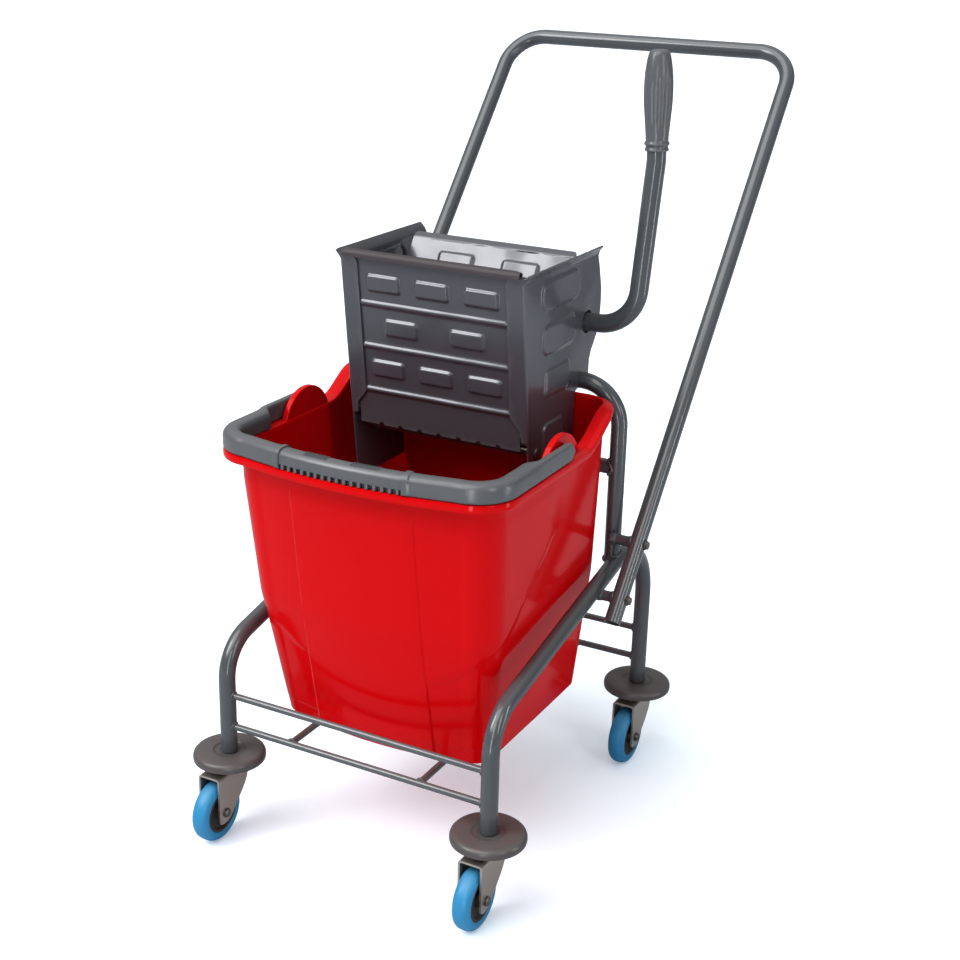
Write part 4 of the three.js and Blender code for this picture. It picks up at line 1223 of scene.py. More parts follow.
@dataclass
class Castor:
    """One castor with its bumper disc."""

    shop: Assembly
    end: str
    side: str
    wheel_r: float = 37.5
    tyre_w: float = 22.0
    hub_r: float = 25.5
    trail: float = 30.0
    crown: float = 87.0
    inside: float = 25.0
    sheet: float = 2.5
    disc_r: float = 43.5
    disc_low: float = 93.6
    disc_h: float = 12.0
    plug: Point2 = (112.0, 128.0)
    fork_front: float = 12.0

    def spot(self) -> Vector:
        """The swivel axis at floor level."""
        return Vector(((1 if self.side == "right" else -1) * LAYOUT.leg_x,
                       (1 if self.end == "rear" else -1) * LAYOUT.leg_y, 0))

    def build(self) -> None:
        """Makes the castor's pieces."""
        key = f"{self.end}_{self.side}"
        spot = Matrix.Translation(self.spot())
        place = self.shop.place
        place(f"bumper_{key}", self._disc().moved(spot).mesh(f"bumper_{key}", 50), "trolley", "bumper",
              BUMPER_MOULDED, f"bumper_disc_{key}")
        place(f"stem_{key}", self._stem().moved(spot).mesh(f"stem_{key}"), "trolley", "steel", FORK_STEEL,
              f"castor_stem_{key}")
        fork = place(f"fork_{key}", self._fork().moved(spot).mesh(f"fork_{key}", 50, False), f"castor_{key}",
                     "steel", FORK_STEEL, f"castor_fork_{key}")
        self.shop.thicken(fork, self.sheet)
        hub_spot = spot @ Matrix.Translation((0, -self.trail, self.wheel_r)) @ AROUND_X
        place(f"tread_{key}", self._tyre().moved(hub_spot).mesh(f"tread_{key}", 60), f"wheel_{key}", "tyre",
              BLUE_TYRE, f"tyre_{key}")
        place(f"wheel_hub_{key}", self._hub().moved(hub_spot).mesh(f"wheel_hub_{key}"), f"wheel_{key}", "hub",
              DARK_HUB, f"hub_{key}")
        axle = place(f"wheel_bolt_{key}", self._axle().moved(hub_spot).mesh(f"wheel_bolt_{key}"),
                     f"castor_{key}", "bolt", DARK_ZINC, f"axle_{key}")
        self.shop.round_edges(axle, 0.3)

    def _disc(self) -> Shell:
        """The bumper disc, with a shallow dish round the leg."""
        low, high, r = self.disc_low, self.disc_low + self.disc_h, self.disc_r
        profile = [(5.4, low), (r - 3, low), (r - 0.4, low + 1.4), (r, low + 3.4), (r - 0.1, high - 5.2),
                   (r - 0.9, high - 3.0), (r - 2.4, high - 1.3), (r - 4.6, high - 0.4), (r - 7.5, high),
                   (20.4, high), (19.4, high - 0.3), (18.7, high - 1.0), (18.0, high - 1.5),
                   (12.6, high - 1.5), (11.8, high - 1.8), (11.4, high - 2.4), (5.4, high - 2.4)]
        return lathe(profile, 96)

    def _stem(self) -> Shell:
        """Rivet head, kingpin, ball race and the plug in the leg."""
        top, (low, high) = self.crown + GAP, self.plug
        race = [(5, top), (17.5, top), (19, top + 1.2), (19, top + 2.4), (18.2, top + 3.0), (19, top + 3.6),
                (19, top + 4.8), (17.8, top + 6), (5, top + 6)]
        profile = [(0, top - 6.4), (6.2, top - 6.4), (8, top - 4.6), (8, top - 2.8), (5, top - 2.8), *race,
                   (5, low), (8.1, low), (8.1, high), (0, high)]
        return lathe(profile, 48)

    def _fork(self) -> Shell:
        """The outer face of the bent fork sheet."""
        front = -self.trail - self.fork_front
        cheek = [(0, 30.5), (0.8, 27.6), (2.6, 25.6), (5, 24.7), (9, 24.4), (14, 24.7), (18, 25.9),
                 (21, 27.8), (25, 31.6), (29, 36), (34, 41.4), (40, 47.2), (46, 53.4), (51, 59.6),
                 (55, 66.5), (57.5, 73), (59, 79), (59.8, 83)]
        edge = [(front + back, low) for back, low in cheek]
        outer = self.inside / 2 + self.sheet
        bend = 4.0
        section: list[Point2] = [(-outer, k / 8) for k in range(9)]
        for k in range(1, 7):
            angle = math.pi / 2 * k / 6
            section.append((-outer + bend * (1 - math.cos(angle)), 1 + math.sin(angle)))
        section.extend((-outer + bend + (2 * outer - 2 * bend) * k / 8, 2.0) for k in range(1, 8))
        section.extend((-x, t) for x, t in reversed(section[:15]))
        shell = Shell()
        for y, low in edge:
            bend_z = self.crown - bend
            for x, t in section:
                z = low + (bend_z - low) * t if t <= 1 else bend_z + bend * (t - 1)
                shell.verts.append(Vector((x, y, z)))
        count = len(section)
        for i in range(len(edge) - 1):
            for k in range(i * count, (i + 1) * count - 1):
                shell.faces.append((k, k + 1, k + 1 + count, k + count))
        crown_face = shell.faces[count // 2]
        a, b, c = (shell.verts[i] for i in crown_face[:3])
        if (b - a).cross(c - a).z < 0:
            shell.faces = [tuple(reversed(face)) for face in shell.faces]
        return shell

    def _tyre(self) -> Shell:
        """The soft tyre, crowned across its tread."""
        half, low = self.tyre_w / 2, self.hub_r + 0.3
        base = low + 2.2
        profile = [(low, -half + 1.2)]
        for k in range(25):
            angle = -math.pi / 2 + math.pi * k / 24
            x = math.copysign(abs(math.sin(angle)) ** (2 / 2.7), math.sin(angle)) * half
            profile.append((base + (self.wheel_r - base) * abs(math.cos(angle)) ** (2 / 2.3), x))
        profile.append((low, half - 1.2))
        return lathe(profile, 96)

    def _hub(self) -> Shell:
        """The dark hub, dished on both sides."""
        half = self.tyre_w / 2 - 0.6
        side = [(4.4, 12.2), (8.4, 12.2), (9.2, 11.4), (9.6, 7.0), (11.4, 5.8), (18.6, 5.4), (21.4, 6.4),
                (22.6, half - 0.5), (23.4, half), (24.9, half), (25.4, half - 0.6)]
        profile = [(r, -z) for r, z in side] + [(r, z) for r, z in reversed(side)]
        return lathe(profile, 72)

    def _axle(self) -> Shell:
        """The wheel bolt: a button head one side, a nut on a washer the other."""
        face = self.inside / 2 + self.sheet + 0.2
        shank = lathe([(0, -face - 1), (3.9, -face - 1), (3.9, face + 3.4), (3.2, face + 3.9),
                       (0, face + 3.9)], 32)
        head = lathe([(0, -face - 3.4), (3.0, -face - 3.3), (4.8, -face - 2.5), (5.8, -face - 1.0),
                      (5.9, -face), (0, -face)], 40)
        washer = lathe([(3.95, face), (6.0, face), (6.0, face + 0.8), (3.95, face + 0.8)], 40)
        nut = lathe([(3.95, face + 0.9), (5.6, face + 0.9), (5.6, face + 2.8), (4.9, face + 3.3),
                     (3.95, face + 3.3)], 6)
        return shank.join(head).join(washer).join(nut)


@dataclass(frozen=True)
class Section:
    """One level outline of the bucket."""

    half: float
    front: float
    rear: float
    bulge: float
    front_r: float
    rear_r: float

    def mixed(self, other: "Section", share: float) -> "Section":
        """The section part of the way to another."""
        values = (getattr(self, k) + (getattr(other, k) - getattr(self, k)) * share
                  for k in ("half", "front", "rear", "bulge", "front_r", "rear_r"))
        return Section(*values)

    def inset(self, by: float) -> "Section":
        """The section with every wall moved inward."""
        return Section(self.half - by, self.front + by, self.rear - by, self.bulge,
                       max(self.front_r - by, 2), max(self.rear_r - by, 2))

    @staticmethod
    def stations(flat: float) -> list[float]:
        """X values along the front, closer together at the edges of its middle panel."""
        half = [70 * k / 16 for k in range(17)] + [74, 76.2, 77.0, 77.8, 78.6, 79.4, 80.2, 83]
        half += [83 + (flat - 83) * k / 9 for k in range(1, 9)]
        return [-flat] + [-x for x in reversed(half[1:])] + half

    def outline(self) -> list[Point2]:
        """The outline, anticlockwise, always with the same number of points."""
        flat = self.half - self.front_r
        loop = [(x, self.front - self.bulge * (1 - (x / flat) ** 2)) for x in self.stations(flat)]
        for cx, cy, radius, start, steps in (
                (flat, self.front + self.front_r, self.front_r, -math.pi / 2, 18),
                (self.half - self.rear_r, self.rear - self.rear_r, self.rear_r, 0.0, 14),
                (-self.half + self.rear_r, self.rear - self.rear_r, self.rear_r, math.pi / 2, 14),
                (-flat, self.front + self.front_r, self.front_r, math.pi, 18)):
            for k in range(steps + 1 if start != math.pi else steps):
                angle = start + math.pi / 2 * k / steps
                loop.append((cx + radius * math.cos(angle), cy + radius * math.sin(angle)))
            if start == -math.pi / 2:
                low, high = self.front + self.front_r, self.rear - self.rear_r
                loop.extend((self.half, low + (high - low) * k / 44) for k in range(1, 44))
            if start == 0.0:
                wide = self.half - self.rear_r
                loop.extend((wide - 2 * wide * k / 20, self.rear) for k in range(1, 20))
            if start == math.pi / 2:
                low, high = self.front + self.front_r, self.rear - self.rear_r
                loop.extend((-self.half, high + (low - high) * k / 44) for k in range(1, 44))
        return loop


LIP = Section(183, -226, 102.5, 15, 50, 50)
BODY_TOP = Section(166, -206, 101.5, 15, 38, 32)
BODY_MID = Section(158, -184, 100.5, 14, 34, 26)
BODY_LOW = Section(138, -152, 97, 14, 24, 16)


@dataclass
class Bucket:
    """The moulded bucket with its ears."""

    shop: Assembly
    wall: float = 3.0
    height: float = 347.0
    mid: float = 165.0
    lip_h: float = 10.0
    rear_lift: float = 32.0
    plain_h: float = 26.0  # below the rim, where the wall has no panels
    panel_half: float = 78.0
    panel_step: float = 1.9
    upper_step: float = 0.9
    foot_step: float = 1.3
    ear_r: float = 47.0
    ear_h: float = 31.0
    ear_x: float = 164.0
    ear_t: float = 8.0
    ear_y: float = -50.0

    def lift(self, y: float) -> float:
        """How much higher the rim is at y than at the front."""
        return self.rear_lift * smooth(y / 75)

    def section(self, height: float) -> Section:
        """The body's outer section at a height over its base."""
        if height < 5:
            return BODY_LOW.inset(4 * (1 - math.sqrt(max(0.0, 1 - (1 - height / 5) ** 2))))
        if height < self.mid:
            return BODY_LOW.mixed(BODY_MID, (height - 5) / (self.mid - 5))
        return BODY_MID.mixed(BODY_TOP, (height - self.mid) / (self.height - self.lip_h - 8 - self.mid))

    def shoulder(self, x: float, y: float) -> float:
        """Height over the base of the curved step, where the upper panels end."""
        reach = abs(x) + max(0.0, y + 168) * 1.05
        return 103 + 62 * smooth((reach - 74) / 115) + max(0.0, reach - 186) * 0.82

    def relief(self, x: float, y: float, height: float) -> float:
        """How far the wall stands out of its plain section at a point."""
        plain = self.height - self.plain_h
        if height > plain:
            return 0.0
        fade = smooth((plain - height) / 12)
        front = smooth((-y - 20) / 40)
        middle = smooth((self.panel_half + 2 - abs(x)) / 3.2) * (1.0 if y < -100 else 0.0)
        upper = smooth((height - self.shoulder(x, y)) / 2.2)
        lower = self.foot_step * smooth((22 - height) / 3)
        return fade * max(self.panel_step * middle, self.upper_step * upper * front) - lower * 0.25 * front

    def build(self) -> None:
        """Makes the bucket."""
        walls = self._walls().mesh("bucket_moulding", 42)
        self.shop.place("bucket_moulding", walls, "bucket", "bucket", BUCKET_GLOSS, "bucket_shell")
        ears = Shell()
        for _, sign in SIDES:
            ears.join(self._ear(sign))
        piece = self.shop.place("bucket_ears", ears.mesh("bucket_ears", 30), "bucket", "bucket", BUCKET_GLOSS)
        self.shop.round_edges(piece, 1.6, 4)

    def _walls(self) -> Shell:
        """The bucket's outer wall, lip, inner wall and floor as one closed surface."""
        base, top = LAYOUT.bucket_z, self.height
        under = top - self.lip_h
        rings: list[list[Vector]] = []
        levels = sorted({*(5 * (1 - math.cos(math.pi / 2 * k / 5)) for k in range(6)),
                         *(5 + (under - 13) * k / 92 for k in range(1, 93)), *range(18, 24)})
        for level in levels:
            ring = []
            plain = self.section(level).outline()
            for i, (x, y) in enumerate(plain):
                a, b = plain[i - 1], plain[(i + 1) % len(plain)]
                out = Vector((b[1] - a[1], a[0] - b[0])).normalized() * self.relief(x, y, level)
                share = level / (under - 8)
                ring.append(Vector((x + out.x, y + out.y, base + level + self.lift(y) * share ** 6)))
            rings.append(ring)
        for section, level in ((BODY_TOP.inset(-0.6), under - 5.0), (BODY_TOP.inset(-1.6), under - 2.6),
                               (BODY_TOP.inset(-4), under - 0.8), (BODY_TOP.inset(-7), under),
                               (LIP.inset(2.6), under), (LIP.inset(0.8), under + 0.5), (LIP, under + 2.2),
                               (LIP, top - 2.6), (LIP.inset(0.7), top - 0.8), (LIP.inset(2.4), top),
                               (BODY_TOP.inset(1.2), top), (BODY_TOP.inset(2.2), top - 0.5),
                               (BODY_TOP.inset(2.9), top - 1.6)):
            rings.append([Vector((x, y, base + level + self.lift(y))) for x, y in section.outline()])
        for k in range(40):
            level = (top - 8) - (top - 8 - self.wall - 6) * k / 39
            ring = self.section(level).inset(self.wall)
            share = level / (under - 8)
            rings.append([Vector((x, y, base + level + self.lift(y) * min(share, 1) ** 6))
                          for x, y in ring.outline()])
        low = self.section(8).inset(self.wall)
        for out, level in ((1, 5.6), (3, 4.0), (6, 3.2), (9, self.wall)):
            rings.append([Vector((x, y, base + level)) for x, y in low.inset(out).outline()])
        shell = Shell([vert for ring in rings for vert in ring])
        count = len(rings[0])
        for r in range(len(rings) - 1):
            for i in range(count):
                n = (i + 1) % count
                shell.faces.append((r * count + i, r * count + n, (r + 1) * count + n, (r + 1) * count + i))
        for r in (0, len(rings) - 1):
            centre = len(shell.verts)
            shell.verts.append(Vector((0, -25, rings[r][0].z)))
            shell.faces.extend((r * count + i, r * count + (i + 1) % count, centre) for i in range(count))
        return shell

    def _ear(self, sign: int) -> Shell:
        """One ear with the stub that the bail turns on."""
        centre = LAYOUT.rim_z + self.ear_h - self.ear_r
        reach = math.acos((self.ear_r - self.ear_h - 3) / self.ear_r)
        outline = []
        for k in range(49):
            angle = math.pi / 2 - reach + 2 * reach * k / 48
            outline.append((self.ear_y + self.ear_r * math.cos(angle), centre + self.ear_r * math.sin(angle)))
        low, high = sorted((sign * self.ear_x, sign * (self.ear_x + self.ear_t)))
        ear = slab(outline, low, high)
        stub = lathe([(0, 0), (5.8, 0), (5.8, 7), (0, 7)], 40)
        return ear.join(stub.moved(facing_out(sign, self.ear_x + self.ear_t - 1, self.ear_y, LAYOUT.bail_z)))


@dataclass
class BailHandle:
    """The moulded bail with its grip."""

    shop: Assembly
    width: float = 22.0
    height: float = BAIL_H
    web: float = 9.5
    corner: float = 9.0
    thick_end: float = -116.0
    pivot_y: float = -50.0
    grip_half: float = 80.0
    collar_w: float = 7.0
    notch_h: float = 6.0
    notch_d: float = 5.0

    def line(self) -> list[Vector]:
        """Line along the bail's outer face, from the right pivot round the front to the left one."""
        loop = LIP.outline()
        flat = LIP.half - LIP.front_r
        front = [(x, y) for x, y in loop if abs(x) <= flat + 1e-6 and y < -150]
        front.sort()
        dense = []
        for (a, b), (c, d) in zip(front, front[1:]):
            dense.extend((a + (c - a) * k / 3, b + (d - b) * k / 3) for k in range(3))
        dense.append(front[-1])
        start = LIP.front + LIP.front_r
        corner = []
        for k in range(1, 19):
            angle = -math.pi / 2 + math.pi / 2 * k / 18
            corner.append((flat + LIP.front_r * math.cos(angle), start + LIP.front_r * math.sin(angle)))
        reach = self.pivot_y + self.height / 2
        arm = [(LIP.half, start + (reach - 12 - start) * k / 40) for k in range(1, 41)]
        arm.extend((LIP.half, reach - 12 * math.cos(math.pi / 2 * k / 12)) for k in range(1, 13))
        right = [Vector((x, y, LAYOUT.bail_z)) for x, y in corner + arm]
        left = [Vector((-v.x, v.y, v.z)) for v in reversed(right)]
        whole = left + [Vector((x, y, LAYOUT.bail_z)) for x, y in dense] + right
        return whole[::-1]

    def outline(self, spot: Vector) -> list[Point2]:
        """The bail's section at a point; its first axis points into the bucket."""
        inward = self.width
        tall = self.height
        if spot.y > self.thick_end - 16:
            inward = self.web + (self.width - self.web) * (1 - smooth((spot.y - self.thick_end + 16) / 16))
        far = spot.y - self.pivot_y
        if far > 0:
            tall = 2 * math.sqrt(max((self.height / 2) ** 2 - far * far, 0.04))
        grip = abs(spot.x) < self.grip_half and spot.y < -150
        collar = abs(abs(spot.x) - self.grip_half) < self.collar_w / 2 and spot.y < -150
        grow = 1.2 if collar else (0.0 if not grip else -0.3)
        half = tall / 2
        radius = min(self.corner, half * 0.9, inward * 0.4)
        corners = [(-grow, -half), (inward + grow, -half), (inward + grow, half + grow), (-grow, half + grow)]
        loop = rounded_loop(corners, [min(radius, 3.2), min(radius, 3.2), radius, radius], 5)
        if grip and not collar:
            deep, roof = self.notch_d, -half + self.notch_h
            sunk = [(-grow, roof + 0.5), (0.5, roof), (deep - 0.3, roof), (deep, roof - 0.2),
                    (deep, -half + 0.5), (deep, -half)]
            loop = sunk + loop[6:]
        return loop

    def build(self) -> None:
        """Makes the bail and its grip's ridges."""
        path = self.line()
        shell = sweep(path, lambda i: self.outline(path[i]), Vector((0, 0, 1)))
        self.shop.place("bail_moulding", shell.mesh("bail_moulding", 35), "bail", "plastic", GREY_MOULDED,
                        "bail_handle")
        self._ridges()
        self._webs()

    def _front(self, x: float) -> float:
        """Y of the bail's outer front face at x."""
        flat = LIP.half - LIP.front_r
        return LIP.front - LIP.bulge * (1 - (x / flat) ** 2)

    def _ridges(self) -> None:
        """Makes the two groups of fine ridges on top of the grip."""
        lines = []
        for low, high in ((-46, -18), (14, 46)):
            lines.append([Vector((low + (high - low) * k / 8, self._front(low + (high - low) * k / 8) + 11,
                                  LAYOUT.bail_z + self.height / 2 - 0.25)) for k in range(9)])
        mesh = self.shop.shop.run(Pattern.ROW, lines, GREY_MOULDED, "bail_ridges", Count=11,
                                  Size=(1.5 * MM, 11 * MM, 1.3 * MM))
        self.shop.place("bail_ridges", mesh, "bail", "plastic", GREY_MOULDED)

    def _webs(self) -> None:
        """Makes the webs between the slots along the grip's lower front edge."""
        reach = self.grip_half - 8
        z = LAYOUT.bail_z - self.height / 2 + self.notch_h / 2 + 0.2
        stations = [-reach + 2 * reach * k / 24 for k in range(25)]
        line = [Vector((x, self._front(x) + self.notch_d / 2 + 0.35, z)) for x in stations]
        mesh = self.shop.shop.run(Pattern.ROW, [line], GREY_MOULDED, "bail_webs", Count=17,
                                  Size=(3.9 * MM, self.notch_d * 1.2 * MM, self.notch_h * 1.15 * MM))
        self.shop.place("bail_webs", mesh, "bail", "plastic", GREY_MOULDED)


@dataclass
class Wringer:
    """The pressed-steel wringer that hangs on the arch."""

    shop: Assembly
    slope: float = 0.1238
    front_top: float = -50.0
    rear_top: float = 143.0
    drop: float = 286.0
    rear_low: float = 95.5
    sheet: float = SHEET
    flange: float = 20.0
    bend: float = 2.6
    flare_h: float = 10.0
    flare_out: float = FLARE_OUT
    front_depth: float = 212.0
    brick_pitch: float = 63.5
    press_top_y: float = 104.0
    press_w: float = 216.0

    def front_line(self, z: float) -> float:
        """Y of the wringer's front plane at a height."""
        return self.front_top + self.slope * (LAYOUT.plate_top - z)

    def build(self) -> None:
        """Makes the wringer's pieces."""
        for side, sign in SIDES:
            self._side(side, sign)
        self._front()
        self._press()
        self._rods()

    # -- side plates

    def _side_outline(self) -> list[Point2]:
        """Flat pattern of a side plate with its front flange, as Y and Z."""
        top, foot = LAYOUT.plate_top, LAYOUT.plate_top - self.drop
        lean = math.hypot(1, self.slope)
        reach = self.flange + self.bend * (math.pi / 2 - 1)
        notch_r = 10.3
        arch_y, arch_z = LAYOUT.arch_y, LAYOUT.arch_z
        seat = LAYOUT.rim_z + 32

        def out(down: float, beyond: float) -> Point2:
            """A point down the front edge and beyond it."""
            z = top - down / lean
            return self.front_line(z) - beyond * lean, z

        points = [(self.front_line(top), top), out(3, 0), out(4.5, reach - 2), out(7, reach), out(170, reach),
                  out(186, 9), out(199, 8), out(201, 0), (self.front_line(foot), foot),
                  (self.rear_low, foot), (self.rear_low, seat + 1), (arch_y - notch_r, seat + 4)]
        for k in range(1, 13):
            angle = math.pi - math.pi * k / 12
            points.append((arch_y + notch_r * math.cos(angle), arch_z + notch_r * math.sin(angle)))
        points.append((arch_y + notch_r, arch_z - 3))
        rear = [(133, 157), (133.6, 136), (138, 125), (145, 116), (151, 108), (155.6, 95), (158.4, 82),
                (160, 68), (159.6, 55), (156, 42), (151.5, 26), (146.5, 12)]
        points.extend((y, top - down) for y, down in rear)
        points.append((self.rear_top, top))
        return points

    def _side(self, side: str, sign: int) -> None:
        """Makes one side plate.

        Args:
            side: Left or right.
            sign: The side's sign along X.
        """
        top = LAYOUT.plate_top
        lean = math.hypot(1, self.slope)
        outer = LAYOUT.plate_x

        def fold(y: float, z: float, lift: float) -> Vector:
            """Lays the flat pattern into space, with its front flange bent in."""
            beyond = (self.front_line(z) - y) / lean + self.bend
            flare = self.flare_out * max(0.0, (z - top + self.flare_h) / self.flare_h) ** 1.25
            if beyond <= 0:
                return Vector((sign * (outer + lift + flare), y, z))
            angle = min(beyond / self.bend, math.pi / 2)
            forward = self.bend * math.sin(angle) - self.bend
            inward = self.bend * (1 - math.cos(angle)) + max(0.0, beyond - self.bend * math.pi / 2)
            base_y = self.front_line(z) - forward / lean
            return Vector((sign * (outer + flare - inward), base_y, z))

        bosses = [Boss(45, top - 33, 104, 38, 16, 2.6, 4.5), Boss(45, top - 85, 90, 38, 14, 2.6, 4.5),
                  Boss(44, top - 137.5, 68, 36, 10, 2.4, 4.5), Boss(37.5, top - 212, 57, 56, 10, 2.4, 4.5)]
        foot = top - 280
        guides = Rib((self.front_line(top) + 1, top - 2), (self.front_line(foot) + 1, foot), 4.5, 0.0)
        ledge = Rib((-44, top - self.flare_h), (140, top - self.flare_h), 3.0, 0.0)
        crest = Rib((-46, top - 3.4), (141, top - 3.4), 2.9, 0.0)
        holes = []
        for (y, z), radius in ((LAYOUT.lever, 14.0), (LAYOUT.press_pivot, 4.4), (LAYOUT.tie_rod, 4.4)):
            holes.append([(y + a, z + b) for a, b in circle(radius, 32)])
        sheet = PressedSheet(self._side_outline(), [*bosses, guides, ledge, crest], fold, holes, 7, 0.5)
        shell = sheet.build(Vector((sign, -0.4, 0)))
        piece = self.shop.place(f"side_plate_{side}", shell.mesh(f"side_plate_{side}", 45, False), "wringer",
                                "wringer", WRINGER_COAT, f"wringer_side_{side}")
        self.shop.thicken(piece, self.sheet)

    # -- front plate

    def on_front(self, across: float, down: float, lift: float, back: float) -> Vector:
        """A point of the sloping front: across, down from its top, and lifted out of it."""
        lean = math.hypot(1, self.slope)
        y = self.front_top + self.slope * down / lean + (back - lift) / lean
        z = LAYOUT.plate_top - down / lean + (back - lift) * self.slope / lean
        return Vector((across, y, z))

    def _front(self) -> None:
        """Makes the front plate with its bricks, ribs, hem and drip notches."""
        half, depth = LAYOUT.plate_x - self.sheet - 0.6, self.front_depth
        step = half - 9
        lower = [(-step, depth)]
        for k in range(7):
            centre = (k - 3) * 26.0
            lower.extend((centre - 3.5 * math.cos(math.pi * j / 6), depth - 3.5 * math.sin(math.pi * j / 6))
                         for j in range(7))
        outline = [(half, 2), (half, depth - 18), (step, depth - 18), (step, depth), *reversed(lower),
                   (-step, depth - 18), (-half, depth - 18), (-half, 2)]
        rows = ((34.0, (-1, 0, 1)), (86.0, (-0.68, 0.68)), (138.5, (-1, 0, 1)))
        features: list[Boss | Rib] = [Boss(off * self.brick_pitch, down, 46, 23, 5.0, 3.0, 4.0)
                                      for down, offsets in rows for off in offsets]
        features.extend(Rib((-93, down), (93, down), 5.4, 2.7) for down in (59.3, 111.7, 167.0))
        back = self.sheet + GAP
        sheet = PressedSheet(outline, features, lambda u, v, h: self.on_front(u, v, h, back), (), 7, 0.5)
        shell = sheet.build(Vector((0, -1, 0)))
        piece = self.shop.place("front_plate", shell.mesh("front_plate", 45, False), "wringer", "wringer",
                                WRINGER_COAT, "wringer_front_plate")
        self.shop.thicken(piece, self.sheet)
        self._hem()

    def _hem(self) -> None:
        """Makes the rolled hem along the front plate's top edge, in a darker colour that paints the shade and
        red reflection on it.
        """
        half = LAYOUT.plate_x - 4
        section = [(6.0, 4.0), (5.6, 0.2), (4.2, -2.8), (1.6, -4.6), (-1.4, -4.8), (-4.0, -3.6), (-5.4, -1.2),
                   (-5.2, 1.4), (-4.0, 3.2), (-3.2, 2.4), (-4.0, 0.8), (-4.0, -0.8), (-3.0, -2.4),
                   (-1.0, -3.3), (1.2, -3.1), (3.2, -1.6), (4.2, 0.8), (4.4, 4.0)]
        path = [self.on_front(-half + 2 * half * k / 40, 0.0, 0.0, 0.0) for k in range(41)]

        def outline(i: int) -> list[Point2]:
            """The hem's section, drawn in towards its ends."""
            share = min(i, 40 - i)
            scale = 1.0 if share > 0 else 0.8
            return [(a * scale, -b * scale) for a, b in section]

        shell = sweep(path, outline, Vector((0, 0, 1)))
        # Painted shade: the hem's darker finish stands in for shade and reflection, not for a different
        # paint.
        self.shop.place("front_hem", shell.mesh("front_hem", 50), "wringer", "wringer", HEM_COAT)

    # -- press plate and rods

    def _press(self) -> None:
        """Makes the press plate with its hinge barrel."""
        pivot_y, pivot_z = LAYOUT.press_pivot
        run, rise = self.press_top_y - pivot_y, LAYOUT.plate_top - pivot_z
        length = math.hypot(run, rise)
        along = Vector((0, -run, -rise)) / length
        out = Vector((0, -rise, run)) / length
        top = Vector((0, self.press_top_y, LAYOUT.plate_top))
        half = self.press_w / 2
        hem_h, bend, lean = 9.5, 5.0, 0.62

        def fold(u: float, v: float, lift: float) -> Vector:
            """Lays the flat pattern into space, with the band along its top edge leaning back."""
            beyond = hem_h - v
            if beyond <= 0:
                return Vector((u, 0, 0)) + top + along * v + out * lift
            angle = min(beyond / bend, lean)
            extra = beyond - bend * angle
            up = bend * math.sin(angle) + extra * math.cos(angle)
            back = bend * (1 - math.cos(angle)) + extra * math.sin(angle)
            return Vector((u, 0, 0)) + top + along * (hem_h - up) - out * back

        outline = rounded_loop([(half, -1.5), (half, length - 6), (-half, length - 6), (-half, -1.5)],
                               [5, 0.5, 0.5, 5], 5)
        rows = ((33.0, (-0.68, 0.68)), (86.0, (-1, 0, 1)), (138.5, (-0.68, 0.68)))
        features: list[Boss | Rib] = [Boss(off * self.brick_pitch, down, 50, 24, 6.0, 3.0, 4.0)
                                      for down, offsets in rows for off in offsets]
        features.extend(Rib((-93, down), (93, down), 5.2, 3.0) for down in (59.3, 111.7, 167.0))
        features.append(Rib((-half + 2, hem_h - 2), (half - 2, hem_h - 2), 3.4, 0.0))
        features.append(Rib((-half + 5, 1.5), (half - 5, 1.5), 2.4, 0.0))
        shell = PressedSheet(outline, features, fold, (), 7, 1.6).build(Vector((0, -1, 0.4)))
        piece = self.shop.place("press_sheet", shell.mesh("press_sheet", 45, False), "press", "wringer",
                                WRINGER_COAT, "press_plate")
        self.shop.thicken(piece, self.sheet)
        reach = half - 10
        barrel = lathe(soften([(4.4, -reach), (5.5, -reach), (5.5, reach), (4.4, reach)], 0.3), 40)
        mesh = barrel.moved(Matrix.Translation((0, pivot_y, pivot_z)) @ AROUND_X).mesh("press_barrel")
        self.shop.place("press_barrel", mesh, "press", "wringer", WRINGER_COAT)

    def _rods(self) -> None:
        """Makes the two cross rods and the lever's bushes."""
        reach = LAYOUT.plate_x
        profile = [(0, -reach - 2.7), (5.4, -reach - 2.4), (6.9, -reach - 1.2), (6.9, -reach - 0.3),
                   (3.95, -reach - 0.3), (3.95, reach + 0.3), (6.9, reach + 0.3), (6.9, reach + 1.2),
                   (5.4, reach + 2.4), (0, reach + 2.7)]
        for name, (y, z), node in (("pivot_rod", LAYOUT.press_pivot, "press_pivot_rod"),
                                   ("tie_rod", LAYOUT.tie_rod, "wringer_tie_rod")):
            mesh = lathe(profile, 36).moved(Matrix.Translation((0, y, z)) @ AROUND_X).mesh(name)
            self.shop.place(name, mesh, "wringer", "bolt", DARK_ZINC, node)
        y, z = LAYOUT.lever
        for side, sign in SIDES:
            face = LAYOUT.plate_x - self.sheet - 0.4
            ring = lathe(soften([(11.4, face - 7), (18, face - 7), (18, face), (11.4, face)], 1.0), 48)
            turn = Matrix.Translation((0, y, z)) @ Matrix.Rotation(sign * math.pi / 2, 4, "Y")
            self.shop.place(f"bush_{side}", ring.moved(turn).mesh(f"bush_{side}"), "wringer", "hub", DARK_HUB,
                            f"lever_bush_{side}")


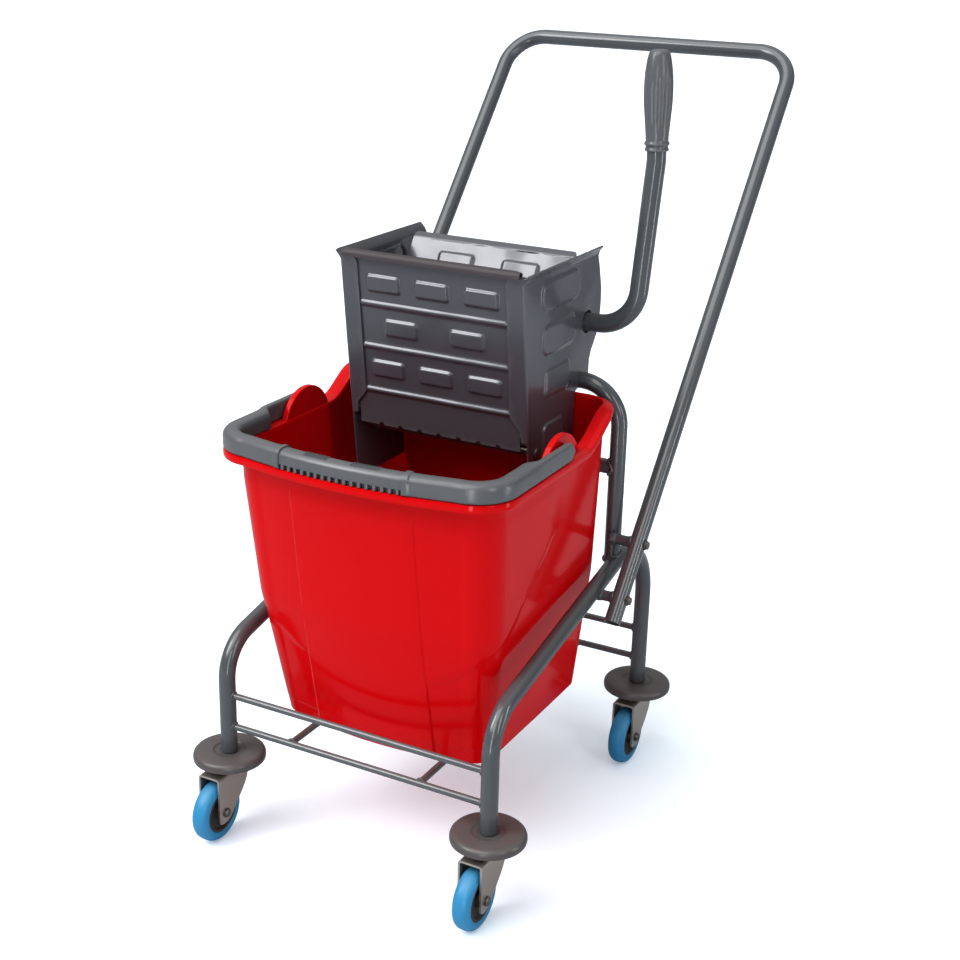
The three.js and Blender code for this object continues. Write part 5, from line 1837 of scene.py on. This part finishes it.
@dataclass
class Lever:
    """The wringer's lever with its grip and cams."""

    shop: Assembly
    tube_r: float = 11.0
    out: float = 60.0
    bend: float = 50.0
    kink: float = 196.0
    lean: float = 15.0
    grip_from: float = 207.0
    grip_h: float = 110.0
    cam_x: float = 60.0
    cam_arm: float = 70.0
    cam_lean: float = 8.0

    def build(self) -> None:
        """Makes the lever's pieces."""
        y, z = LAYOUT.lever
        upright = LAYOUT.plate_x + self.out
        kink = Vector((upright + self.lean, y, z + self.kink))
        top = Vector((upright + self.lean - 3.5, y, z + self.grip_from + self.grip_h - 14))
        corners = [Vector((-LAYOUT.plate_x - 6, y, z)), Vector((upright, y, z)), kink, top]
        line = fillet(corners, [self.bend, self.bend], 22)
        mesh = pipe(line, self.tube_r, 2.0, 44).mesh("lever_pipe")
        self.shop.place("lever_pipe", mesh, "lever", "frame", FRAME_COAT, "lever_tube")
        axis = (top - kink).normalized()
        foot = kink + axis * (self.grip_from - self.kink)
        turn = Vector((0, 0, 1)).rotation_difference(axis).to_matrix().to_4x4()
        grip = self._grip().moved(Matrix.Translation(foot) @ turn)
        self.shop.place("grip_moulding", grip.mesh("grip_moulding", 55), "lever", "plastic", GREY_MOULDED,
                        "lever_grip")
        for side, sign in SIDES:
            piece = self.shop.place(f"cam_{side}", self._cam(sign).mesh(f"cam_{side}"), "lever", "wringer",
                                    WRINGER_COAT, f"lever_cam_{side}")
            self.shop.round_edges(piece, 0.8, 3)

    def _grip(self) -> Shell:
        """The hand grip, turned and then fluted along its belly."""
        key = [(11.3, 0.4), (12.4, 0.0), (13.3, 0.5), (13.6, 1.6), (13.3, 2.8), (12.6, 3.6), (12.5, 6.0),
               (13.6, 6.7), (14.3, 7.9), (14.0, 9.3), (13.1, 10.5), (12.8, 12), (13.0, 16), (13.6, 24),
               (14.7, 36), (15.6, 46), (16.2, 56), (16.4, 66), (16.2, 76), (15.5, 85), (14.5, 93),
               (13.5, 99), (12.5, 103.6), (11.6, 106.4), (10.2, 108.4), (8.2, 109.6), (5.0, 110.2),
               (2.5, 110.3), (0, 110.3)]
        fine: list[Point2] = []
        for (a, b), (c, d) in zip(key, key[1:]):
            runs = max(1, int(math.hypot(c - a, d - b) / 2.0))
            fine.extend((a + (c - a) * k / runs, b + (d - b) * k / runs) for k in range(runs))
        fine.append(key[-1])
        count = 120
        profile = [(0.0, 99.0), (11.3, 99.0), (11.3, 50.0), *fine]
        shell = lathe(profile, count)
        size = len(profile)
        for index, vert in enumerate(shell.verts):
            place = index % size
            if place < 4:
                continue
            angle = math.tau * (index // size) / count
            window = smooth((vert.z - 26) / 10) * smooth((84 - vert.z) / 12)
            flute = smooth((math.cos(angle * 16) - 0.1) / 0.7)
            radius = math.hypot(vert.x, vert.y)
            if radius > 1e-6:
                shrink = 1 - 0.75 * window * flute / radius
                shell.verts[index] = Vector((vert.x * shrink, vert.y * shrink, vert.z))
        return shell

    def _cam(self, sign: int) -> Shell:
        """One cam arm with its hub round the lever's shaft."""
        y, z = LAYOUT.lever
        spread = math.asin(9 / self.cam_arm)
        outline = []
        for k in range(25):
            angle = math.pi - spread + (math.pi + 2 * spread) * k / 24
            outline.append((17 * math.cos(angle), 17 * math.sin(angle)))
        for k in range(17):
            angle = spread + (math.pi - 2 * spread) * k / 16
            outline.append((8 * math.cos(angle), self.cam_arm + 8 * math.sin(angle)))
        tilt = Matrix.Rotation(-math.radians(self.cam_lean), 4, "X")
        middle = sign * self.cam_x
        inner = [(11.3 * math.cos(math.tau * k / 42), 11.3 * math.sin(math.tau * k / 42)) for k in range(42)]
        inner.reverse()
        shell = Shell()
        for x in (middle - 4, middle + 4):
            shell.verts.extend(Vector((x, a, b)) for a, b in outline)
            shell.verts.extend(Vector((x, a, b)) for a, b in inner)
        flat = [Vector(spot) for spot in outline + inner]
        half = len(flat)
        edges: list[tuple[int, int]] = []
        for first, count in ((0, len(outline)), (len(outline), len(inner))):
            edges.extend((first + k, first + (k + 1) % count) for k in range(count))
        shell.faces.extend((k, n, n + half, k + half) for k, n in edges)
        _, _, faces, *_ = delaunay_2d_cdt(flat, edges, [], 1, 1e-4)
        for face in faces:
            middle_spot = sum((flat[i] for i in face), Vector((0, 0))) / 3
            if middle_spot.length > 11.2:
                shell.faces.append(tuple(face))
                shell.faces.append(tuple(i + half for i in face))
        return shell.moved(Matrix.Translation((0, y, z)) @ tilt)


# ------------------------------------------------------------------------------------------ studio


@dataclass
class Studio:
    """Camera, floor and soft light."""

    azimuth: float = 27.759
    elevation: float = 20.342
    roll: float = 1.428
    lens: float = 59.41
    position: tuple[float, float, float] = (860.0, -1549.9, 1075.7)

    def camera(self) -> None:
        """Makes the camera that looks at the trolley's right front corner."""
        a, e, r = (math.radians(v) for v in (self.azimuth, self.elevation, self.roll))
        back = Vector((math.sin(a) * math.cos(e), -math.cos(a) * math.cos(e), math.sin(e)))
        right = Vector((math.cos(a), math.sin(a), 0))
        up = back.cross(right)
        across = right * math.cos(r) + up * math.sin(r)
        rise = up * math.cos(r) - right * math.sin(r)
        data = bpy.data.cameras.new("camera")
        data.lens = self.lens
        data.sensor_width = 36
        data.clip_end = 50
        holder = bpy.data.objects.new("camera", data)
        place = Matrix((across, rise, back)).transposed().to_4x4()
        place.translation = LAYOUT.metres(self.position)
        holder.matrix_world = place
        bpy.context.scene.collection.objects.link(holder)
        bpy.context.scene.camera = holder

    def light(self) -> None:
        """Makes the world, the soft boxes and two strips that only show as reflections."""
        world = bpy.data.worlds.new("studio")
        world.use_nodes = True
        graph = Graph(world.node_tree)
        around = graph.node("ShaderNodeTexCoord").outputs["Generated"]
        way = graph.node("ShaderNodeSeparateXYZ", Vector=around)
        grade = graph.node("ShaderNodeMapRange", Value=way.outputs["Z"], From_Min=-0.1, From_Max=0.95,
                           To_Min=0.1, To_Max=0.66)
        sight = graph.node("ShaderNodeLightPath")
        light = graph.node("ShaderNodeMix", {"data_type": "FLOAT"}, _0=sight.outputs["Is Camera Ray"],
                           _2=grade.outputs[0], _3=1.05)
        sky = world.node_tree.nodes["Background"]
        sky.inputs["Color"].default_value = (0.97, 0.985, 1.0, 1)
        graph.feed(sky.inputs["Strength"], light.outputs[0])
        bpy.context.scene.world = world
        bpy.context.scene.view_settings.view_transform = "Standard"
        bpy.context.scene.view_settings.look = "Medium High Contrast"
        self._sun()
        for name, spot, size, power in (("key", (-1.5, -2.0, 2.3), (0.8, 1.6), 26),
                                        ("fill", (2.3, -1.2, 1.6), (0.4, 1.8), 12),
                                        ("front_strip", (0.4, -1.25, 0.55), (0.12, 1.1), 3.2),
                                        ("side_strip", (1.5, 0.1, 0.55), (0.12, 1.1), 3.6)):
            data = bpy.data.lights.new(name, "AREA")
            data.shape = "RECTANGLE"
            data.size, data.size_y = size
            data.energy = power
            lamp = bpy.data.objects.new(name, data)
            lamp.location = spot
            lamp.visible_camera = False
            lamp.visible_diffuse = not name.endswith("strip")
            lamp.rotation_euler = (Vector((0, 0, 0.4)) - Vector(spot)).to_track_quat("-Z", "Y").to_euler()
            bpy.context.scene.collection.objects.link(lamp)

    def _sun(self) -> None:
        """Makes the broad, even light from above that whitens the floor."""
        data = bpy.data.lights.new("daylight", "SUN")
        data.energy = 2.0
        data.angle = math.radians(60)
        lamp = bpy.data.objects.new("daylight", data)
        lamp.rotation_euler = Vector((0.3, 0.55, -1)).to_track_quat("-Z", "Y").to_euler()
        bpy.context.scene.collection.objects.link(lamp)

    def floor(self) -> None:
        """Makes the pale floor, which glows for the camera to lighten its shadows and turns darker grey in
        reflections to paint dark reflections on glossy parts.
        """
        data = bpy.data.meshes.new("floor")
        data.from_pydata([(-40, -40, 0), (40, -40, 0), (40, 40, 0), (-40, 40, 0)], [], [(0, 1, 2, 3)])
        sheet = bpy.data.objects.new("floor", data)
        bpy.context.scene.collection.objects.link(sheet)
        material = bpy.data.materials.new("floor_paper")
        material.use_nodes = True
        graph = Graph(material.node_tree)
        shader = material.node_tree.nodes["Principled BSDF"]
        # Painted reflection: glossy rays see the floor as darker grey, which paints darker reflections into
        # the tubes and other glossy parts.
        sight = graph.node("ShaderNodeLightPath")
        paper = graph.node("ShaderNodeMix", {"data_type": "RGBA"}, _0=sight.outputs["Is Glossy Ray"],
                           _6=(0.86, 0.9, 0.96, 1), _7=(0.4, 0.42, 0.45, 1))
        # Painted light: the floor glows pale cyan for camera rays only, which lightens its shadows and hides
        # the pink light that the bucket bounces onto it.
        lift = graph.node("ShaderNodeMath", {"operation": "MULTIPLY"}, _0=sight.outputs["Is Camera Ray"],
                          _1=0.22)
        graph.feed(shader.inputs["Base Color"], paper.outputs[2])
        graph.feed(shader.inputs["Roughness"], 0.9)
        graph.feed(shader.inputs["Emission Color"], (0.78, 0.93, 1.0, 1))
        graph.feed(shader.inputs["Emission Strength"], lift.outputs[0])
        data.materials.append(material)


def main() -> None:
    """Builds the trolley piece by piece, and the studio round it."""
    logging.basicConfig(level=logging.INFO, format="%(message)s")
    studio = Studio()
    studio.camera()
    paints = Paintbox()
    shop = Assembly(paints, NodeShop(paints))
    TubeFrame(shop).build()
    PushHandle(shop).build()
    for end, _ in ENDS:
        for side, _ in SIDES:
            Castor(shop, end, side).build()
    Bucket(shop).build()
    BailHandle(shop).build()
    Wringer(shop).build()
    Lever(shop).build()
    studio.floor()
    studio.light()


if __name__ == "__main__":
    main()
